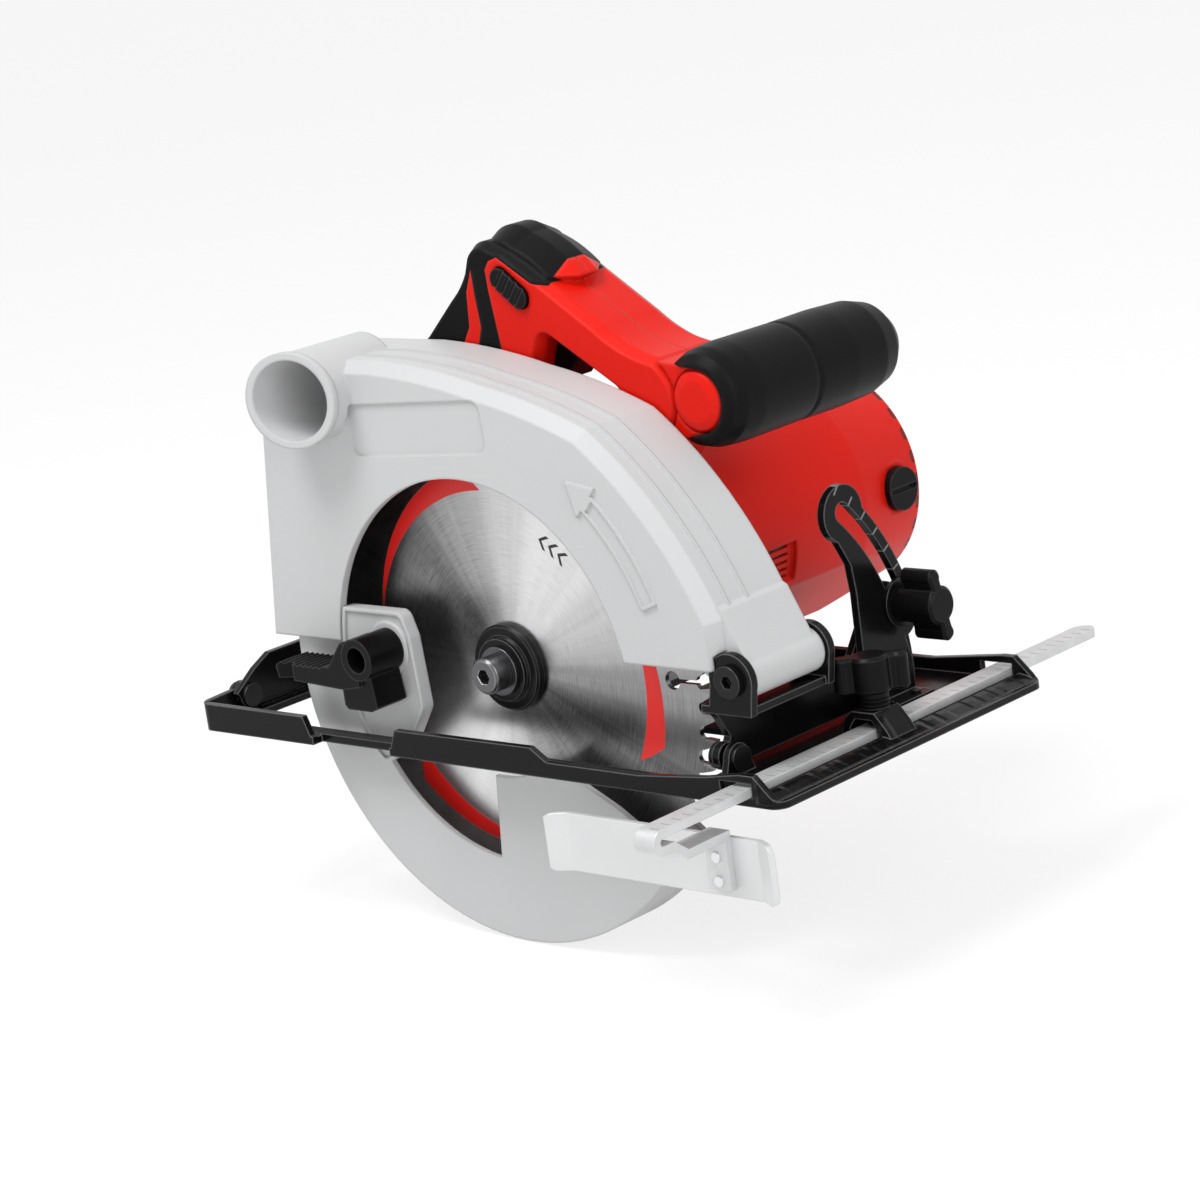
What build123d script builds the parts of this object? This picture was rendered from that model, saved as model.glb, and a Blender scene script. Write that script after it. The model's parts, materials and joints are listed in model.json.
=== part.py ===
from build123d import *
import math
import os

# Circular saw for a 185 mm blade. Millimetres. +X is the cutting direction, +Y points to the motor,
# +Z is up. The origin lies on the sole plane, in the blade's middle plane, under the arbor.

# ---- Blade and spindle, on an axis along Y through (0, ARBOR_Z) ----
ARBOR_Z = 28.0
BLADE_R = 92.5
BLADE_T = 1.8
BLADE_BORE_R = 10.0
TOOTH_COUNT = 64
TOOTH_DEPTH = 7.0
TOOTH_LAND = 2.4
TIP_W = 2.6
TIP_H = 4.2
TIP_T = 1.5
SLOT_COUNT = 4
SLOT_W = 1.4
SLOT_INNER_R = 75.0
KEYHOLE_R = 3.2
SPINDLE_R = 6.0
SPINDLE_END_Y = 41.0
SPINDLE_COLLAR_R = 8.0
INNER_FLANGE_R = 17.5
INNER_FLANGE_T = 4.0
INNER_FLANGE_LIP = 1.2
OUTER_FLANGE_R = 15.4
OUTER_FLANGE_T = 3.2
OUTER_FLANGE_HUB_R = 11.0
OUTER_FLANGE_HUB_T = 2.2
WASHER_R = 8.6
WASHER_T = 1.4
BOLT_HEAD_R = 6.4
BOLT_HEAD_T = 7.2
BOLT_SOCKET_AF = 5.0
BOLT_SOCKET_DEPTH = 4.5
BOLT_R = 4.0
BOLT_LENGTH = 18.0

# ---- Reduction gear ----
GEAR_MODULE = 0.9
GEAR_TEETH = 47
PINION_TEETH = 15
GEAR_Y0 = 20.5
GEAR_W = 10.0
PINION_EXTRA_W = 1.5
GEAR_BACKLASH = 0.2
GEAR_ADDENDUM = 0.8
GEAR_DEDENDUM = 1.1
PRESSURE_ANGLE = math.radians(20)
FLANK_POINTS = 3
GEAR_WEB_T = 5.0
GEAR_HUB_R = 11.0
GEAR_RIM = 4.0
MOTOR_DIRECTION = 72.5

# ---- Upper guard casting ----
GUARD_NEAR_Y = -16.0
GUARD_FAR_Y = 22.0
GUARD_WALL = 3.0
GUARD_BACK_Y = 12.0
GUARD_BACK_T = 4.0
GUARD_CAVITY_R = BLADE_R + 5.5
GUARD_WINDOW_R = 69.7
GUARD_BEVEL = 5.0
GUARD_BEVEL_ANGLE = 38.0
GUARD_TOP_Z = ARBOR_Z + BLADE_R + 16.2
GUARD_TOP_R = BLADE_R + 13.0
GUARD_NOSE_R = BLADE_R + 20.5
GUARD_FRONT_X = BLADE_R + 17.5
GUARD_REAR_TOP_X = -96.0
GUARD_REAR_FOOT_X = -108.0
GUARD_SHOULDER_Z = 116.0
GUARD_FOOT_REAR_Z = 36.0
GUARD_FOOT_FRONT_Z = 39.0
GUARD_RIB_H = 0.7
GUARD_RIB_W = 1.0
GUARD_RIBS_Y = (-6.0, 3.0)
NOSE_BOSS_R = 21.0
NOSE_BOSS_Y = 3.4
NOSE_FLANGE_R = 24.8
NOSE_MOUTH_R = 18.2
RING_Y = 4.2
RING_T = 1.0
RING_DEPTH = 1.2
PANEL_W = 66.0
PANEL_H = 18.0
PANEL_DEPTH = 0.8
PANEL_CENTRE = (-14.5, 114.5)
PANEL_TILT = 3.0
ARROW_R = 89.5
ARROW_W = 7.0
ARROW_H = 0.8
ARROW_FROM = 20.0
ARROW_TO = 46.0

# ---- Dust port ----
PORT_X = -60.0
PORT_Z = 126.0
PORT_MOUTH_Y = -29.4
PORT_R = 16.2
PORT_BORE_R = 14.2
PORT_MOUTH_SLOPE = 17.0
PORT_LIP = 0.7
PORT_LIP_W = 2.0
PORT_FLOOR_Y = 8.0
DUCT_R = 10.5

# ---- Depth pivot at the front, along Y ----
PIVOT_X = BLADE_R + 20.5
PIVOT_Z = 36.0
PIVOT_BOSS_R = 7.6
PIVOT_PIN_R = 3.5
PIVOT_HEAD_R = 5.4
PIVOT_HEAD_T = 1.8
PIVOT_SOCKET_AF = 4.0
EAR_R = 9.0
EAR_T = 3.0
NEAR_EAR_Y = -14.2
FAR_EAR_Y = 24.4
EAR_GAP = 0.35
LUG_R = 9.5

# ---- Lower guard ----
SHROUD_R = BLADE_R + 3.5
SHROUD_WALL = 2.0
SHROUD_NEAR_Y = -12.5
SHROUD_FAR_Y = 7.6
SHROUD_RING_R = 67.0
SHROUD_HUB_R = 25.5
SHROUD_SLEEVE_R = 22.6
SHROUD_INNER_R = 36.4
SHROUD_FRONT_ANGLE = -36.0
SHROUD_REAR_ANGLE = -196.0
WINDOW_TO = -96.0
TAB_OUTER_X = -69.0
TAB_INNER_X = -33.5
TAB_TOP_Z = 48.5
TAB_FACE_Y = -15.5
TAB_CLEARANCE_R = 69.2
LEVER_X = -45.0
LEVER_Z = 35.0
LEVER_BOSS_R = 7.5
LEVER_BORE_R = 4.6
LEVER_END_Y = -31.5
LEVER_ARM_END_X = -89.0
LEVER_ARM_T = 6.5
LEVER_ARM_TOP_Z = 31.0
LEVER_SERRATION = 0.8
LEVER_SERRATIONS = 9
LEVER_FOOT_Z = 16.0
LEVER_FOOT_H = 8.0

# ---- Base plate and its hinge line for the bevel, along X ----
BRACKET_X = BLADE_R + 6.5
BAR_X = BRACKET_X + 25.2
BASE_REAR_X = -140.0
BASE_FRONT_X = BAR_X + 16.1
BASE_NEAR_Y = -28.0
BASE_FAR_Y = 111.0
BASE_T = 2.5
RAIL_H = 10.2
RAIL_LOW_H = 5.5
FAR_RAIL_H = 7.0
SLOT_NEAR_Y = -16.5
SLOT_FAR_Y = 29.5
SLOT_REAR_X = -129.5
SLOT_FRONT_X = BLADE_R + 6.5
NOTCH_X0 = -80.0
NOTCH_X1 = -38.0
NOTCH_Z = 3.0
NOTCH_SET = 4.5
HUMP_TOP_X1 = BAR_X + 5.5
HUMP_H = 10.2
LIP_H = 4.4
STRAP_Y = 41.0
STRAP_W = 13.0
STRAP_RISE = 1.8
TILT_Y = -8.0
TILT_Z = 8.0
TILT_PIN_R = 2.5
TILT_LUG_R = 5.0
TILT_PIN_HEAD_R = 4.4
TILT_PIN_HEAD_T = 1.5
FRONT_LUG_X = BRACKET_X + 5.2
REAR_LUG_X = BASE_REAR_X
LUG_T = 2.5
BASE_CORNER_R = 5.0
SOLE_SLITS = 5
SOLE_SLIT = (40.0, 16.0)
SOLE_SLIT_X = -100.0
SOLE_SLIT_Y = 74.2
SOLE_SLIT_PITCH = 38.0

# ---- Bevel quadrant and clamp ----
QUADRANT_X = BRACKET_X + 6.0
QUADRANT_T = 3.0
QUADRANT_R = 91.0
QUADRANT_SLOT_W = 6.8
QUADRANT_OUTER_R = 98.0
QUADRANT_INNER_R = 83.5
CLAMP_ANGLE = 18.2
QUADRANT_SWEEP = 27.2
BEVEL_RANGE = 45.0
QUADRANT_HEAD_R = 9.8
QUADRANT_FOOT_L = 11.0
QUADRANT_FOOT_Y = (57.0, 82.0)
CLAMP_BOLT_R = 3.0
CLAMP_WASHER_R = 8.5
CLAMP_WASHER_T = 1.6
CLAMP_HEAD_T = 3.0
KNOB_R = 13.0
KNOB_LOBE_R = 2.8
KNOB_T = 17.0
KNOB_HUB_R = 6.6
KNOB_HUB_T = 4.0
KNOB_CHAMFER = 1.0
KNOB_ANGLE = 12.0

# ---- Tilting brackets ----
BRACKET_T = 3.0
BRACKET_BOTTOM_Z = 3.3
BRACKET_WEB_Z = 24.4
BRACKET_WEB_T = 2.6
BRACKET_WEB_X = BRACKET_X + 20.0
REAR_BRACKET_X = -136.6
REAR_BRACKET_T = 2.6
REAR_BRACKET_TOP_Z = 21.0

# ---- Depth guide arc, behind the upper guard ----
GUIDE_ARC_Y = 25.6
GUIDE_ARC_T = 2.6
GUIDE_ARC_R = PIVOT_X + 93.0
GUIDE_ARC_W = 16.0
GUIDE_SLOT_W = 6.8
DEPTH_RANGE = 30.0
DEPTH_BOLT_ANGLE = 185.5
DEPTH_BOLT_R = 3.0
DEPTH_HEAD_R = 5.0
DEPTH_HEAD_T = 2.6
DEPTH_LEVER_L = 34.0
DEPTH_LEVER_T = 6.0
DEPTH_LEVER_R = 8.0

# ---- Rip guide ----
BAR_W = 8.6
BAR_T = 3.0
BAR_Z = 3.3
BAR_NEAR_Y = -74.0
BAR_FAR_Y = 160.0
BAR_CLEARANCE = 0.35
WINDOW_EXTRA = 4.0
FENCE_X0 = 48.0
FENCE_X1 = 148.0
FENCE_Y = -40.0
FENCE_T = 2.0
FENCE_Z0 = -26.0
FENCE_Z1 = -6.0
FENCE_LIP = 4.0
HAIRPIN_DROP = 8.4
WING_R = 12.5
WING_T = 12.5
WING_Z = 17.5
WING_STEM_R = 5.0
WING_SCREW_R = 3.0
WING_ANGLE = -47.0
SCREW_TIP_GAP = 0.2

# ---- Motor ----
MOTOR_R = 45.0
MOTOR_END_R = 40.5
MOTOR_WALL = 3.0
MOTOR_Y0 = 24.0
MOTOR_TAPER_Y = 132.0
MOTOR_END_Y = 170.0
MOTOR_NOSE_FILLET = 6.0
FACET_ANGLE = -48.0
FACET_DISTANCE = 42.0
VENT_COUNT = 16
VENT_W = 4.0
VENT_R0 = 19.0
VENT_DEPTH = 7.0
SIDE_VENT_Y = (66.0, 92.5)
SIDE_VENT_ANGLES = (-23.5, -4.6)
SIDE_VENT_DEPTH = 1.6
SIDE_VENT_SLITS = 5
SHAFT_R = 5.0
FRONT_BEARING_R = 13.0
FRONT_BEARING_W = 8.0
FRONT_BEARING_Y = 36.0
REAR_BEARING_R = 11.0
REAR_BEARING_W = 7.0
FAN_Y = 48.0
FAN_R = 37.0
FAN_T = 10.0
FAN_DISC_T = 2.0
FAN_BLADES = 11
CORE_Y0 = 70.0
CORE_Y1 = 122.0
CORE_R = 23.0
CORE_SLOTS = 12
CORE_SLOT_W = 3.0
CORE_SLOT_DEPTH = 6.0
AIR_GAP = 0.6
STATOR_R = 41.6
WINDING_T = 7.0
COMMUTATOR_R = 13.5
COMMUTATOR_Y = 152.5
COMMUTATOR_W = 13.0
BRUSH_W = 6.5
BRUSH_L = 14.0
BRUSH_CAP_R = 8.0
BRUSH_CAP_T = 7.0
BRUSH_TUBE_R = 9.6
CAP_SLOT_W = 1.8
CAP_SLOT_DEPTH = 1.6

# ---- Gear housing ----
CASE_Y0 = 16.2
CASE_Y1 = 46.0
CASE_WALL = 2.2
CASE_CLEARANCE = 0.85
SPINDLE_BEARING_R = 16.0
SPINDLE_BEARING_W = 9.0
SPINDLE_BEARING_Y = 6.0
NEEDLE_R = 9.0
NEEDLE_Y = 33.5
NEEDLE_W = 7.0

# ---- Handle ----
HANDLE_Y = 40.0
HANDLE_HALF = 17.0
HANDLE_CHAMFER = 4.0
HANDLE_SLOPE = 28.0
CROWN_HALF = 13.0
CROWN_FLAT = 4.0
CROWN_SLOPE = 25.0
HANDLE_WALL = 3.4
RUBBER_T = 1.6
SPLIT_GAP = 0.1
TRIGGER_HALF = 6.5
TRIGGER_CLEARANCE = 0.5
TRIGGER_PIVOT = (-6.0, 143.0)
TRIGGER_PIN_R = 1.5
TRIGGER_RANGE = 8.0
TRIGGER_SPRING_R = 3.0
TRIGGER_SPRING_SEAT = (2.0, 145.7)
TRIGGER_EYE_R = 3.4
SWITCH_X = (-15.0, 5.0)
SWITCH_Z = (148.5, 158.5)
SWITCH_HALF = 7.5
LOCK_ANGLE = -38.0
LOCK_CENTRE = (1.5, 154.8)
LOCK_L = 18.0
LOCK_W = 7.4
LOCK_PROUD = 1.6
LOCK_CLEARANCE = 0.4
LOCK_FLANGE = 2.0
LOCK_GROOVES = 4
LOCK_GROOVE_PITCH = 3.4
LOCK_GROOVE_W = 1.0
LOCK_GROOVE_DEPTH = 0.7
HANDLE_SCREWS = ((-54.0, 116.0), (-12.0, 163.2), (31.0, 137.5), (58.0, 118.0))
HANDLE_POST_R = 4.6
AUX_X = 80.0
AUX_Z = 117.5
AUX_R = 17.4
AUX_NEAR_Y = 22.5
AUX_FAR_Y = 118.0
AUX_SEAM_Y = 66.0
AUX_SEAM = 0.5
AUX_CORE_R = 11.0
AUX_CORE_END_Y = 108.0
NECK_Y = (24.0, 57.0)
GLAND_R = 7.5
GLAND_BORE_R = 3.6
GLAND_L = 5.0
GLAND_COLLAR = 1.4
GLAND_COLLAR_T = 2.4
GLAND_X = -71.0
GLAND_Z = 92.0
GLAND_ANGLE = -128.0
SCREW_R = 2.0
SCREW_HEAD_R = 3.6
SCREW_HEAD_T = 2.4

FIT = 0.05
RACE_FIT = 0.08
RACE_SHARE = 0.28
SEAL_DEPTH = 0.6
GAP = 0.3
BIG = 400.0

# ---- Places worked out from the sizes above ----
CENTRE_DISTANCE = GEAR_MODULE * (GEAR_TEETH + PINION_TEETH) / 2
MOTOR_X = CENTRE_DISTANCE * math.cos(math.radians(MOTOR_DIRECTION))
MOTOR_Z = ARBOR_Z + CENTRE_DISTANCE * math.sin(math.radians(MOTOR_DIRECTION))
GEAR_TIP_R = GEAR_MODULE * GEAR_TEETH / 2 + GEAR_ADDENDUM
CASE_R = GEAR_TIP_R + CASE_CLEARANCE + CASE_WALL
REAR_BEARING_Y = MOTOR_END_Y - MOTOR_WALL - REAR_BEARING_W
LUG_Y0 = GUARD_BACK_Y + GUARD_BACK_T - 1


# ---- Shared shapes ----
def polygon(points):
    return make_face(Polyline(*points, close=True))


def across(sketch, y0, y1):
    """A sketch drawn in X and Z, given its depth along Y."""
    return Pos(0, y1, 0) * extrude(Plane.XZ * sketch, amount=y1 - y0)


def along(sketch, x0, x1):
    """A sketch drawn in Y and Z, given its depth along X."""
    return Pos(x0, 0, 0) * extrude(Plane.YZ * sketch, amount=x1 - x0)


def upward(sketch, z0, z1):
    """A sketch drawn in X and Y, given its height."""
    return Pos(0, 0, z0) * extrude(sketch, amount=z1 - z0)


def rod(radius, y0, y1, x=0.0, z=0.0):
    return across(Pos(x, z) * Circle(radius), y0, y1)


def pin(radius, x0, x1, y, z):
    return along(Pos(y, z) * Circle(radius), x0, x1)


def turned(profile, x, z):
    """A profile of (radius, y) points turned about an axis along Y."""
    return Pos(x, 0, z) * revolve(polygon(profile), Axis.Y)


def block(x0, x1, y0, y1, z0, z1):
    size = (x1 - x0, y1 - y0, z1 - z0)
    return Pos((x0 + x1) / 2, (y0 + y1) / 2, (z0 + z1) / 2) * Box(*size)


def polar(radius, angle, centre=(0.0, 0.0)):
    turn = math.radians(angle)
    return (centre[0] + radius * math.cos(turn), centre[1] + radius * math.sin(turn))


def sector(r0, r1, a0, a1, centre):
    """A ring sector between two radii and two angles, under 360 degrees."""
    middle = (a0 + a1) / 2
    edges = [
        ThreePointArc(polar(r1, a0, centre), polar(r1, middle, centre), polar(r1, a1, centre)),
        Line(polar(r1, a1, centre), polar(r0, a1, centre)),
        ThreePointArc(polar(r0, a1, centre), polar(r0, middle, centre), polar(r0, a0, centre)),
        Line(polar(r0, a0, centre), polar(r1, a0, centre)),
    ]
    return make_face(edges)


def arc_slot(radius, width, a0, a1, centre):
    """A slot with round ends that follows an arc."""
    body = sector(radius - width / 2, radius + width / 2, a0, a1, centre)
    for angle in (a0, a1):
        body += Pos(*polar(radius, angle, centre)) * Circle(width / 2)
    return body


ARBOR = (0.0, ARBOR_Z)
MOTOR = (MOTOR_X, MOTOR_Z)
PIVOT = (PIVOT_X, PIVOT_Z)
TILT = (TILT_Y, TILT_Z)


# ---- Blade, spindle and what clamps the blade ----
def saw_blade():
    pitch = 360 / TOOTH_COUNT
    root = BLADE_R - TOOTH_DEPTH
    edges = []
    for tooth in range(TOOTH_COUNT):
        tip = tooth * pitch
        face_top = polar(BLADE_R - TIP_H, tip - 0.35)
        face_foot = polar(root + 1.6, tip - 0.6)
        gullet = polar(root, tip + 0.9)
        back_foot = polar(root + 2.2, tip + 2.5)
        land = math.degrees(TOOTH_LAND / BLADE_R)
        back_top = polar(BLADE_R - 0.6, tip + pitch - land)
        pocket = math.degrees(TIP_T / BLADE_R)
        shelf = polar(BLADE_R - TIP_H, tip - pocket)
        crest = polar(BLADE_R - 0.4, tip - pocket)
        edges += [Line(crest, shelf), Line(shelf, face_top), Line(face_top, face_foot)]
        edges += [ThreePointArc(face_foot, gullet, back_foot), Line(back_foot, back_top)]
        edges.append(Line(back_top, polar(BLADE_R - 0.4, tip + pitch - pocket)))
    disc = make_face(edges) - Circle(BLADE_BORE_R)
    for number in range(SLOT_COUNT):
        angle = (number * TOOTH_COUNT // SLOT_COUNT) * pitch + 0.9 - 2 * pitch * (number % 2)
        mouth = BLADE_R - TOOTH_DEPTH / 2
        length = mouth - SLOT_INNER_R
        slot = Pos(SLOT_INNER_R + length / 2, 0) * Rectangle(length, SLOT_W)
        disc -= Rot(0, 0, angle) * (slot + Pos(SLOT_INNER_R, 0) * Circle(KEYHOLE_R))
    return Pos(0, 0, ARBOR_Z) * across(disc, -BLADE_T / 2, BLADE_T / 2)


def carbide_tips():
    pitch = 360 / TOOTH_COUNT
    pocket = math.degrees(TIP_T / BLADE_R)
    tips = []
    for tooth in range(TOOTH_COUNT):
        tip = tooth * pitch
        outline = [
            polar(BLADE_R, tip),
            polar(BLADE_R - TIP_H, tip - 0.35),
            polar(BLADE_R - TIP_H, tip - pocket),
            polar(BLADE_R - 0.15, tip - pocket),
        ]
        tips.append(Pos(0, 0, ARBOR_Z) * across(polygon(outline), -TIP_W / 2, TIP_W / 2))
    return Compound(tips)


def inner_flange():
    y0 = BLADE_T / 2
    y1 = y0 + INNER_FLANGE_T
    outline = [
        (SPINDLE_R, y0 - INNER_FLANGE_LIP),
        (BLADE_BORE_R - FIT, y0 - INNER_FLANGE_LIP),
        (BLADE_BORE_R - FIT, y0 + 0.6),
        (INNER_FLANGE_R - 4, y0 + 0.6),
        (INNER_FLANGE_R - 4, y0),
        (INNER_FLANGE_R, y0),
        (INNER_FLANGE_R, y1 - 1),
        (INNER_FLANGE_R - 1, y1),
        (SPINDLE_R, y1),
    ]
    return turned(outline, *ARBOR)


def outer_flange():
    y0 = -BLADE_T / 2
    y1 = y0 - OUTER_FLANGE_T
    y2 = y1 - OUTER_FLANGE_HUB_T
    outline = [
        (BOLT_R + GAP, y0),
        (OUTER_FLANGE_R, y0),
        (OUTER_FLANGE_R, y1 + 0.8),
        (OUTER_FLANGE_R - 0.8, y1),
        (OUTER_FLANGE_HUB_R + 0.8, y1),
        (OUTER_FLANGE_HUB_R, y1 - 0.8),
        (OUTER_FLANGE_HUB_R, y2),
        (BOLT_R + GAP, y2),
    ]
    return turned(outline, *ARBOR)


def bolt_seat_y():
    return -BLADE_T / 2 - OUTER_FLANGE_T - OUTER_FLANGE_HUB_T


def blade_washer():
    y = bolt_seat_y()
    ring = Circle(WASHER_R) - Circle(BOLT_R + GAP)
    return Pos(0, 0, ARBOR_Z) * across(ring, y - WASHER_T, y)


def blade_bolt():
    seat = bolt_seat_y() - WASHER_T
    head = seat - BOLT_HEAD_T
    outline = [
        (0, seat + BOLT_LENGTH),
        (BOLT_R, seat + BOLT_LENGTH),
        (BOLT_R, seat),
        (BOLT_HEAD_R, seat),
        (BOLT_HEAD_R, head + 0.8),
        (BOLT_HEAD_R - 0.8, head),
        (0, head),
    ]
    socket = RegularPolygon(BOLT_SOCKET_AF / 2, 6, major_radius=False)
    return turned(outline, *ARBOR) - Pos(0, 0, ARBOR_Z) * across(socket, head, head + BOLT_SOCKET_DEPTH)


def spindle():
    y0 = BLADE_T / 2 - INNER_FLANGE_LIP
    seat = bolt_seat_y() - WASHER_T
    bore_end = seat + BOLT_LENGTH + 1
    collar_y = SPINDLE_BEARING_Y + SPINDLE_BEARING_W
    outline = [
        (0, bore_end),
        (BOLT_R + FIT, bore_end),
        (BOLT_R + FIT, y0),
        (SPINDLE_R - FIT, y0),
        (SPINDLE_R - FIT, collar_y),
        (SPINDLE_COLLAR_R, collar_y),
        (SPINDLE_COLLAR_R, GEAR_Y0),
        (SPINDLE_R - FIT, GEAR_Y0),
        (SPINDLE_R - FIT, SPINDLE_END_Y),
        (0, SPINDLE_END_Y),
    ]
    return turned(outline, *ARBOR)


def involute(angle):
    return math.tan(angle) - angle


def toothed_disc(teeth, phase):
    """A spur gear outline with involute flanks, its teeth thinned by the backlash."""
    pitch_r = GEAR_MODULE * teeth / 2
    base_r = pitch_r * math.cos(PRESSURE_ANGLE)
    tip_r = pitch_r + GEAR_ADDENDUM
    root_r = pitch_r - GEAR_DEDENDUM
    half_tooth = (math.pi * GEAR_MODULE / 2 - GEAR_BACKLASH) / 2 / pitch_r
    base_half = half_tooth + involute(PRESSURE_ANGLE)
    flank = []
    for step in range(FLANK_POINTS):
        radius = max(root_r, base_r) + (tip_r - max(root_r, base_r)) * step / (FLANK_POINTS - 1)
        spread = base_half - involute(math.acos(base_r / radius))
        flank.append((radius, math.degrees(spread)))
    if root_r < base_r:
        flank.insert(0, (root_r, flank[0][1]))
    points = []
    for tooth in range(teeth):
        middle = phase + tooth * 360 / teeth
        points += [polar(radius, middle - spread) for radius, spread in flank]
        points += [polar(radius, middle + spread) for radius, spread in reversed(flank)]
    return polygon(points)


def spindle_gear():
    """Bolted to the spindle; a tooth points at the motor shaft."""
    y1 = GEAR_Y0 + GEAR_W
    web_y = GEAR_Y0 + (GEAR_W - GEAR_WEB_T) / 2
    root_r = GEAR_MODULE * GEAR_TEETH / 2 - GEAR_DEDENDUM
    disc = toothed_disc(GEAR_TEETH, MOTOR_DIRECTION) - Circle(SPINDLE_R)
    gear = Pos(0, 0, ARBOR_Z) * across(disc, GEAR_Y0, y1)
    dish = Pos(0, 0, ARBOR_Z) * across(Circle(root_r - GEAR_RIM) - Circle(GEAR_HUB_R), GEAR_Y0, web_y)
    far_dish = Pos(0, 0, ARBOR_Z) * across(Circle(root_r - GEAR_RIM) - Circle(GEAR_HUB_R), y1 - 2.5, y1)
    return gear - dish - far_dish


def motor_pinion():
    half_tooth = 180 / PINION_TEETH
    disc = toothed_disc(PINION_TEETH, MOTOR_DIRECTION + 180 + half_tooth) - Circle(SHAFT_R - 1.2)
    y0 = GEAR_Y0 - PINION_EXTRA_W / 2
    y1 = GEAR_Y0 + GEAR_W + PINION_EXTRA_W
    return Pos(MOTOR_X, 0, MOTOR_Z) * across(disc, y0, y1)


def ball_bearing(inner, outer, y0, width, centre):
    """Two races and the balls' ring between them, sealed."""
    ring_w = (outer - inner) * RACE_SHARE
    seal = SEAL_DEPTH
    outline = [
        (inner, y0),
        (inner + ring_w, y0),
        (inner + ring_w, y0 + seal),
        (outer - ring_w, y0 + seal),
        (outer - ring_w, y0),
        (outer, y0),
        (outer, y0 + width),
        (outer - ring_w, y0 + width),
        (outer - ring_w, y0 + width - seal),
        (inner + ring_w, y0 + width - seal),
        (inner + ring_w, y0 + width),
        (inner, y0 + width),
    ]
    return turned(outline, *centre)


def spindle_bearing():
    return ball_bearing(SPINDLE_R, SPINDLE_BEARING_R, SPINDLE_BEARING_Y, SPINDLE_BEARING_W, ARBOR)


def needle_bearing():
    ring = Circle(NEEDLE_R) - Circle(SPINDLE_R)
    return Pos(0, 0, ARBOR_Z) * across(ring, NEEDLE_Y, NEEDLE_Y + NEEDLE_W)


# ---- Upper guard ----
def guard_outline():
    """The drum's outline: flat top, rear shoulder, and a nose that widens to the front."""
    top_x = 34.0
    crest = polar(GUARD_CAVITY_R + 4.2, 80.6, ARBOR)
    brow = polar(GUARD_TOP_R + 1.5, 55, ARBOR)
    cheek = polar(GUARD_NOSE_R - 4.5, 32, ARBOR)
    nose = (GUARD_FRONT_X, ARBOR_Z + 27)
    low = BRACKET_WEB_Z - 10
    edges = [
        Line((GUARD_REAR_FOOT_X, low), (GUARD_REAR_FOOT_X, GUARD_FOOT_REAR_Z)),
        Line((GUARD_REAR_FOOT_X, GUARD_FOOT_REAR_Z), (GUARD_REAR_TOP_X, GUARD_SHOULDER_Z)),
        ThreePointArc(
            (GUARD_REAR_TOP_X, GUARD_SHOULDER_Z), (-91, 130), (GUARD_REAR_TOP_X + 16, GUARD_TOP_Z)
        ),
        Line((GUARD_REAR_TOP_X + 16, GUARD_TOP_Z), (-top_x, GUARD_TOP_Z)),
        ThreePointArc((-top_x, GUARD_TOP_Z), (-8, GUARD_TOP_Z - 2.8), crest),
        ThreePointArc(crest, polar(GUARD_TOP_R - 2.6, 69, ARBOR), brow),
        ThreePointArc(brow, cheek, nose),
        Line(nose, (GUARD_FRONT_X + 0.6, low)),
        Line((GUARD_FRONT_X + 0.6, low), (GUARD_REAR_FOOT_X, low)),
    ]
    return make_face(edges)


def guard_foot_cut(y0, y1):
    """What is cut away below the guard: level behind, a little higher in front."""
    return block(-BIG, 0, y0, y1, -BIG, GUARD_FOOT_REAR_Z) + block(0, BIG, y0, y1, -BIG, GUARD_FOOT_FRONT_Z)


def port_tube():
    """The hose socket's wall and lip, its mouth cut at a slant towards the front."""
    tube = rod(PORT_R, PORT_MOUTH_Y - PORT_R, PORT_FLOOR_Y, PORT_X, PORT_Z)
    beyond = Pos(PORT_X, PORT_MOUTH_Y, PORT_Z) * Rot(0, 0, PORT_MOUTH_SLOPE)
    lip = beyond * Pos(0, PORT_LIP_W / 2, 0) * Box(3 * PORT_R, PORT_LIP_W, 3 * PORT_R)
    lip &= rod(PORT_R + PORT_LIP, PORT_MOUTH_Y - PORT_R, PORT_FLOOR_Y, PORT_X, PORT_Z)
    return tube + lip - beyond * Pos(0, -PORT_R, 0) * Box(4 * PORT_R, 2 * PORT_R, 4 * PORT_R)


def pivot_boss():
    y0 = NEAR_EAR_Y + EAR_T + EAR_GAP
    y1 = FAR_EAR_Y - EAR_GAP
    boss = rod(PIVOT_BOSS_R, y0, y1, *PIVOT)
    neck = polygon(
        [
            (PIVOT_X - 1, PIVOT_Z - PIVOT_BOSS_R),
            (PIVOT_X + PIVOT_BOSS_R, PIVOT_Z + 1),
            (GUARD_FRONT_X, ARBOR_Z + 30),
            (GUARD_FRONT_X - 7, ARBOR_Z + 34),
            polar(GUARD_CAVITY_R + 1.5, 16, ARBOR),
            polar(GUARD_CAVITY_R + 1.5, 5, ARBOR),
        ]
    )
    return boss + across(neck, y0, GUARD_FAR_Y)


def rotation_arrow():
    """Raised arc and head that show which way the blade turns."""
    shaft = sector(ARROW_R - ARROW_W / 2, ARROW_R + ARROW_W / 2, ARROW_FROM, ARROW_TO, ARBOR)
    head = polygon(
        [
            polar(ARROW_R - ARROW_W, ARROW_TO, ARBOR),
            polar(ARROW_R, ARROW_TO + 7, ARBOR),
            polar(ARROW_R + ARROW_W, ARROW_TO, ARBOR),
        ]
    )
    line = sector(ARROW_R - ARROW_W / 2 + 1, ARROW_R + ARROW_W / 2 - 1, ARROW_FROM + 1, ARROW_TO - 1, ARBOR)
    return across(shaft + head - line, GUARD_NEAR_Y - ARROW_H, GUARD_NEAR_Y + 0.5)


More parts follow.
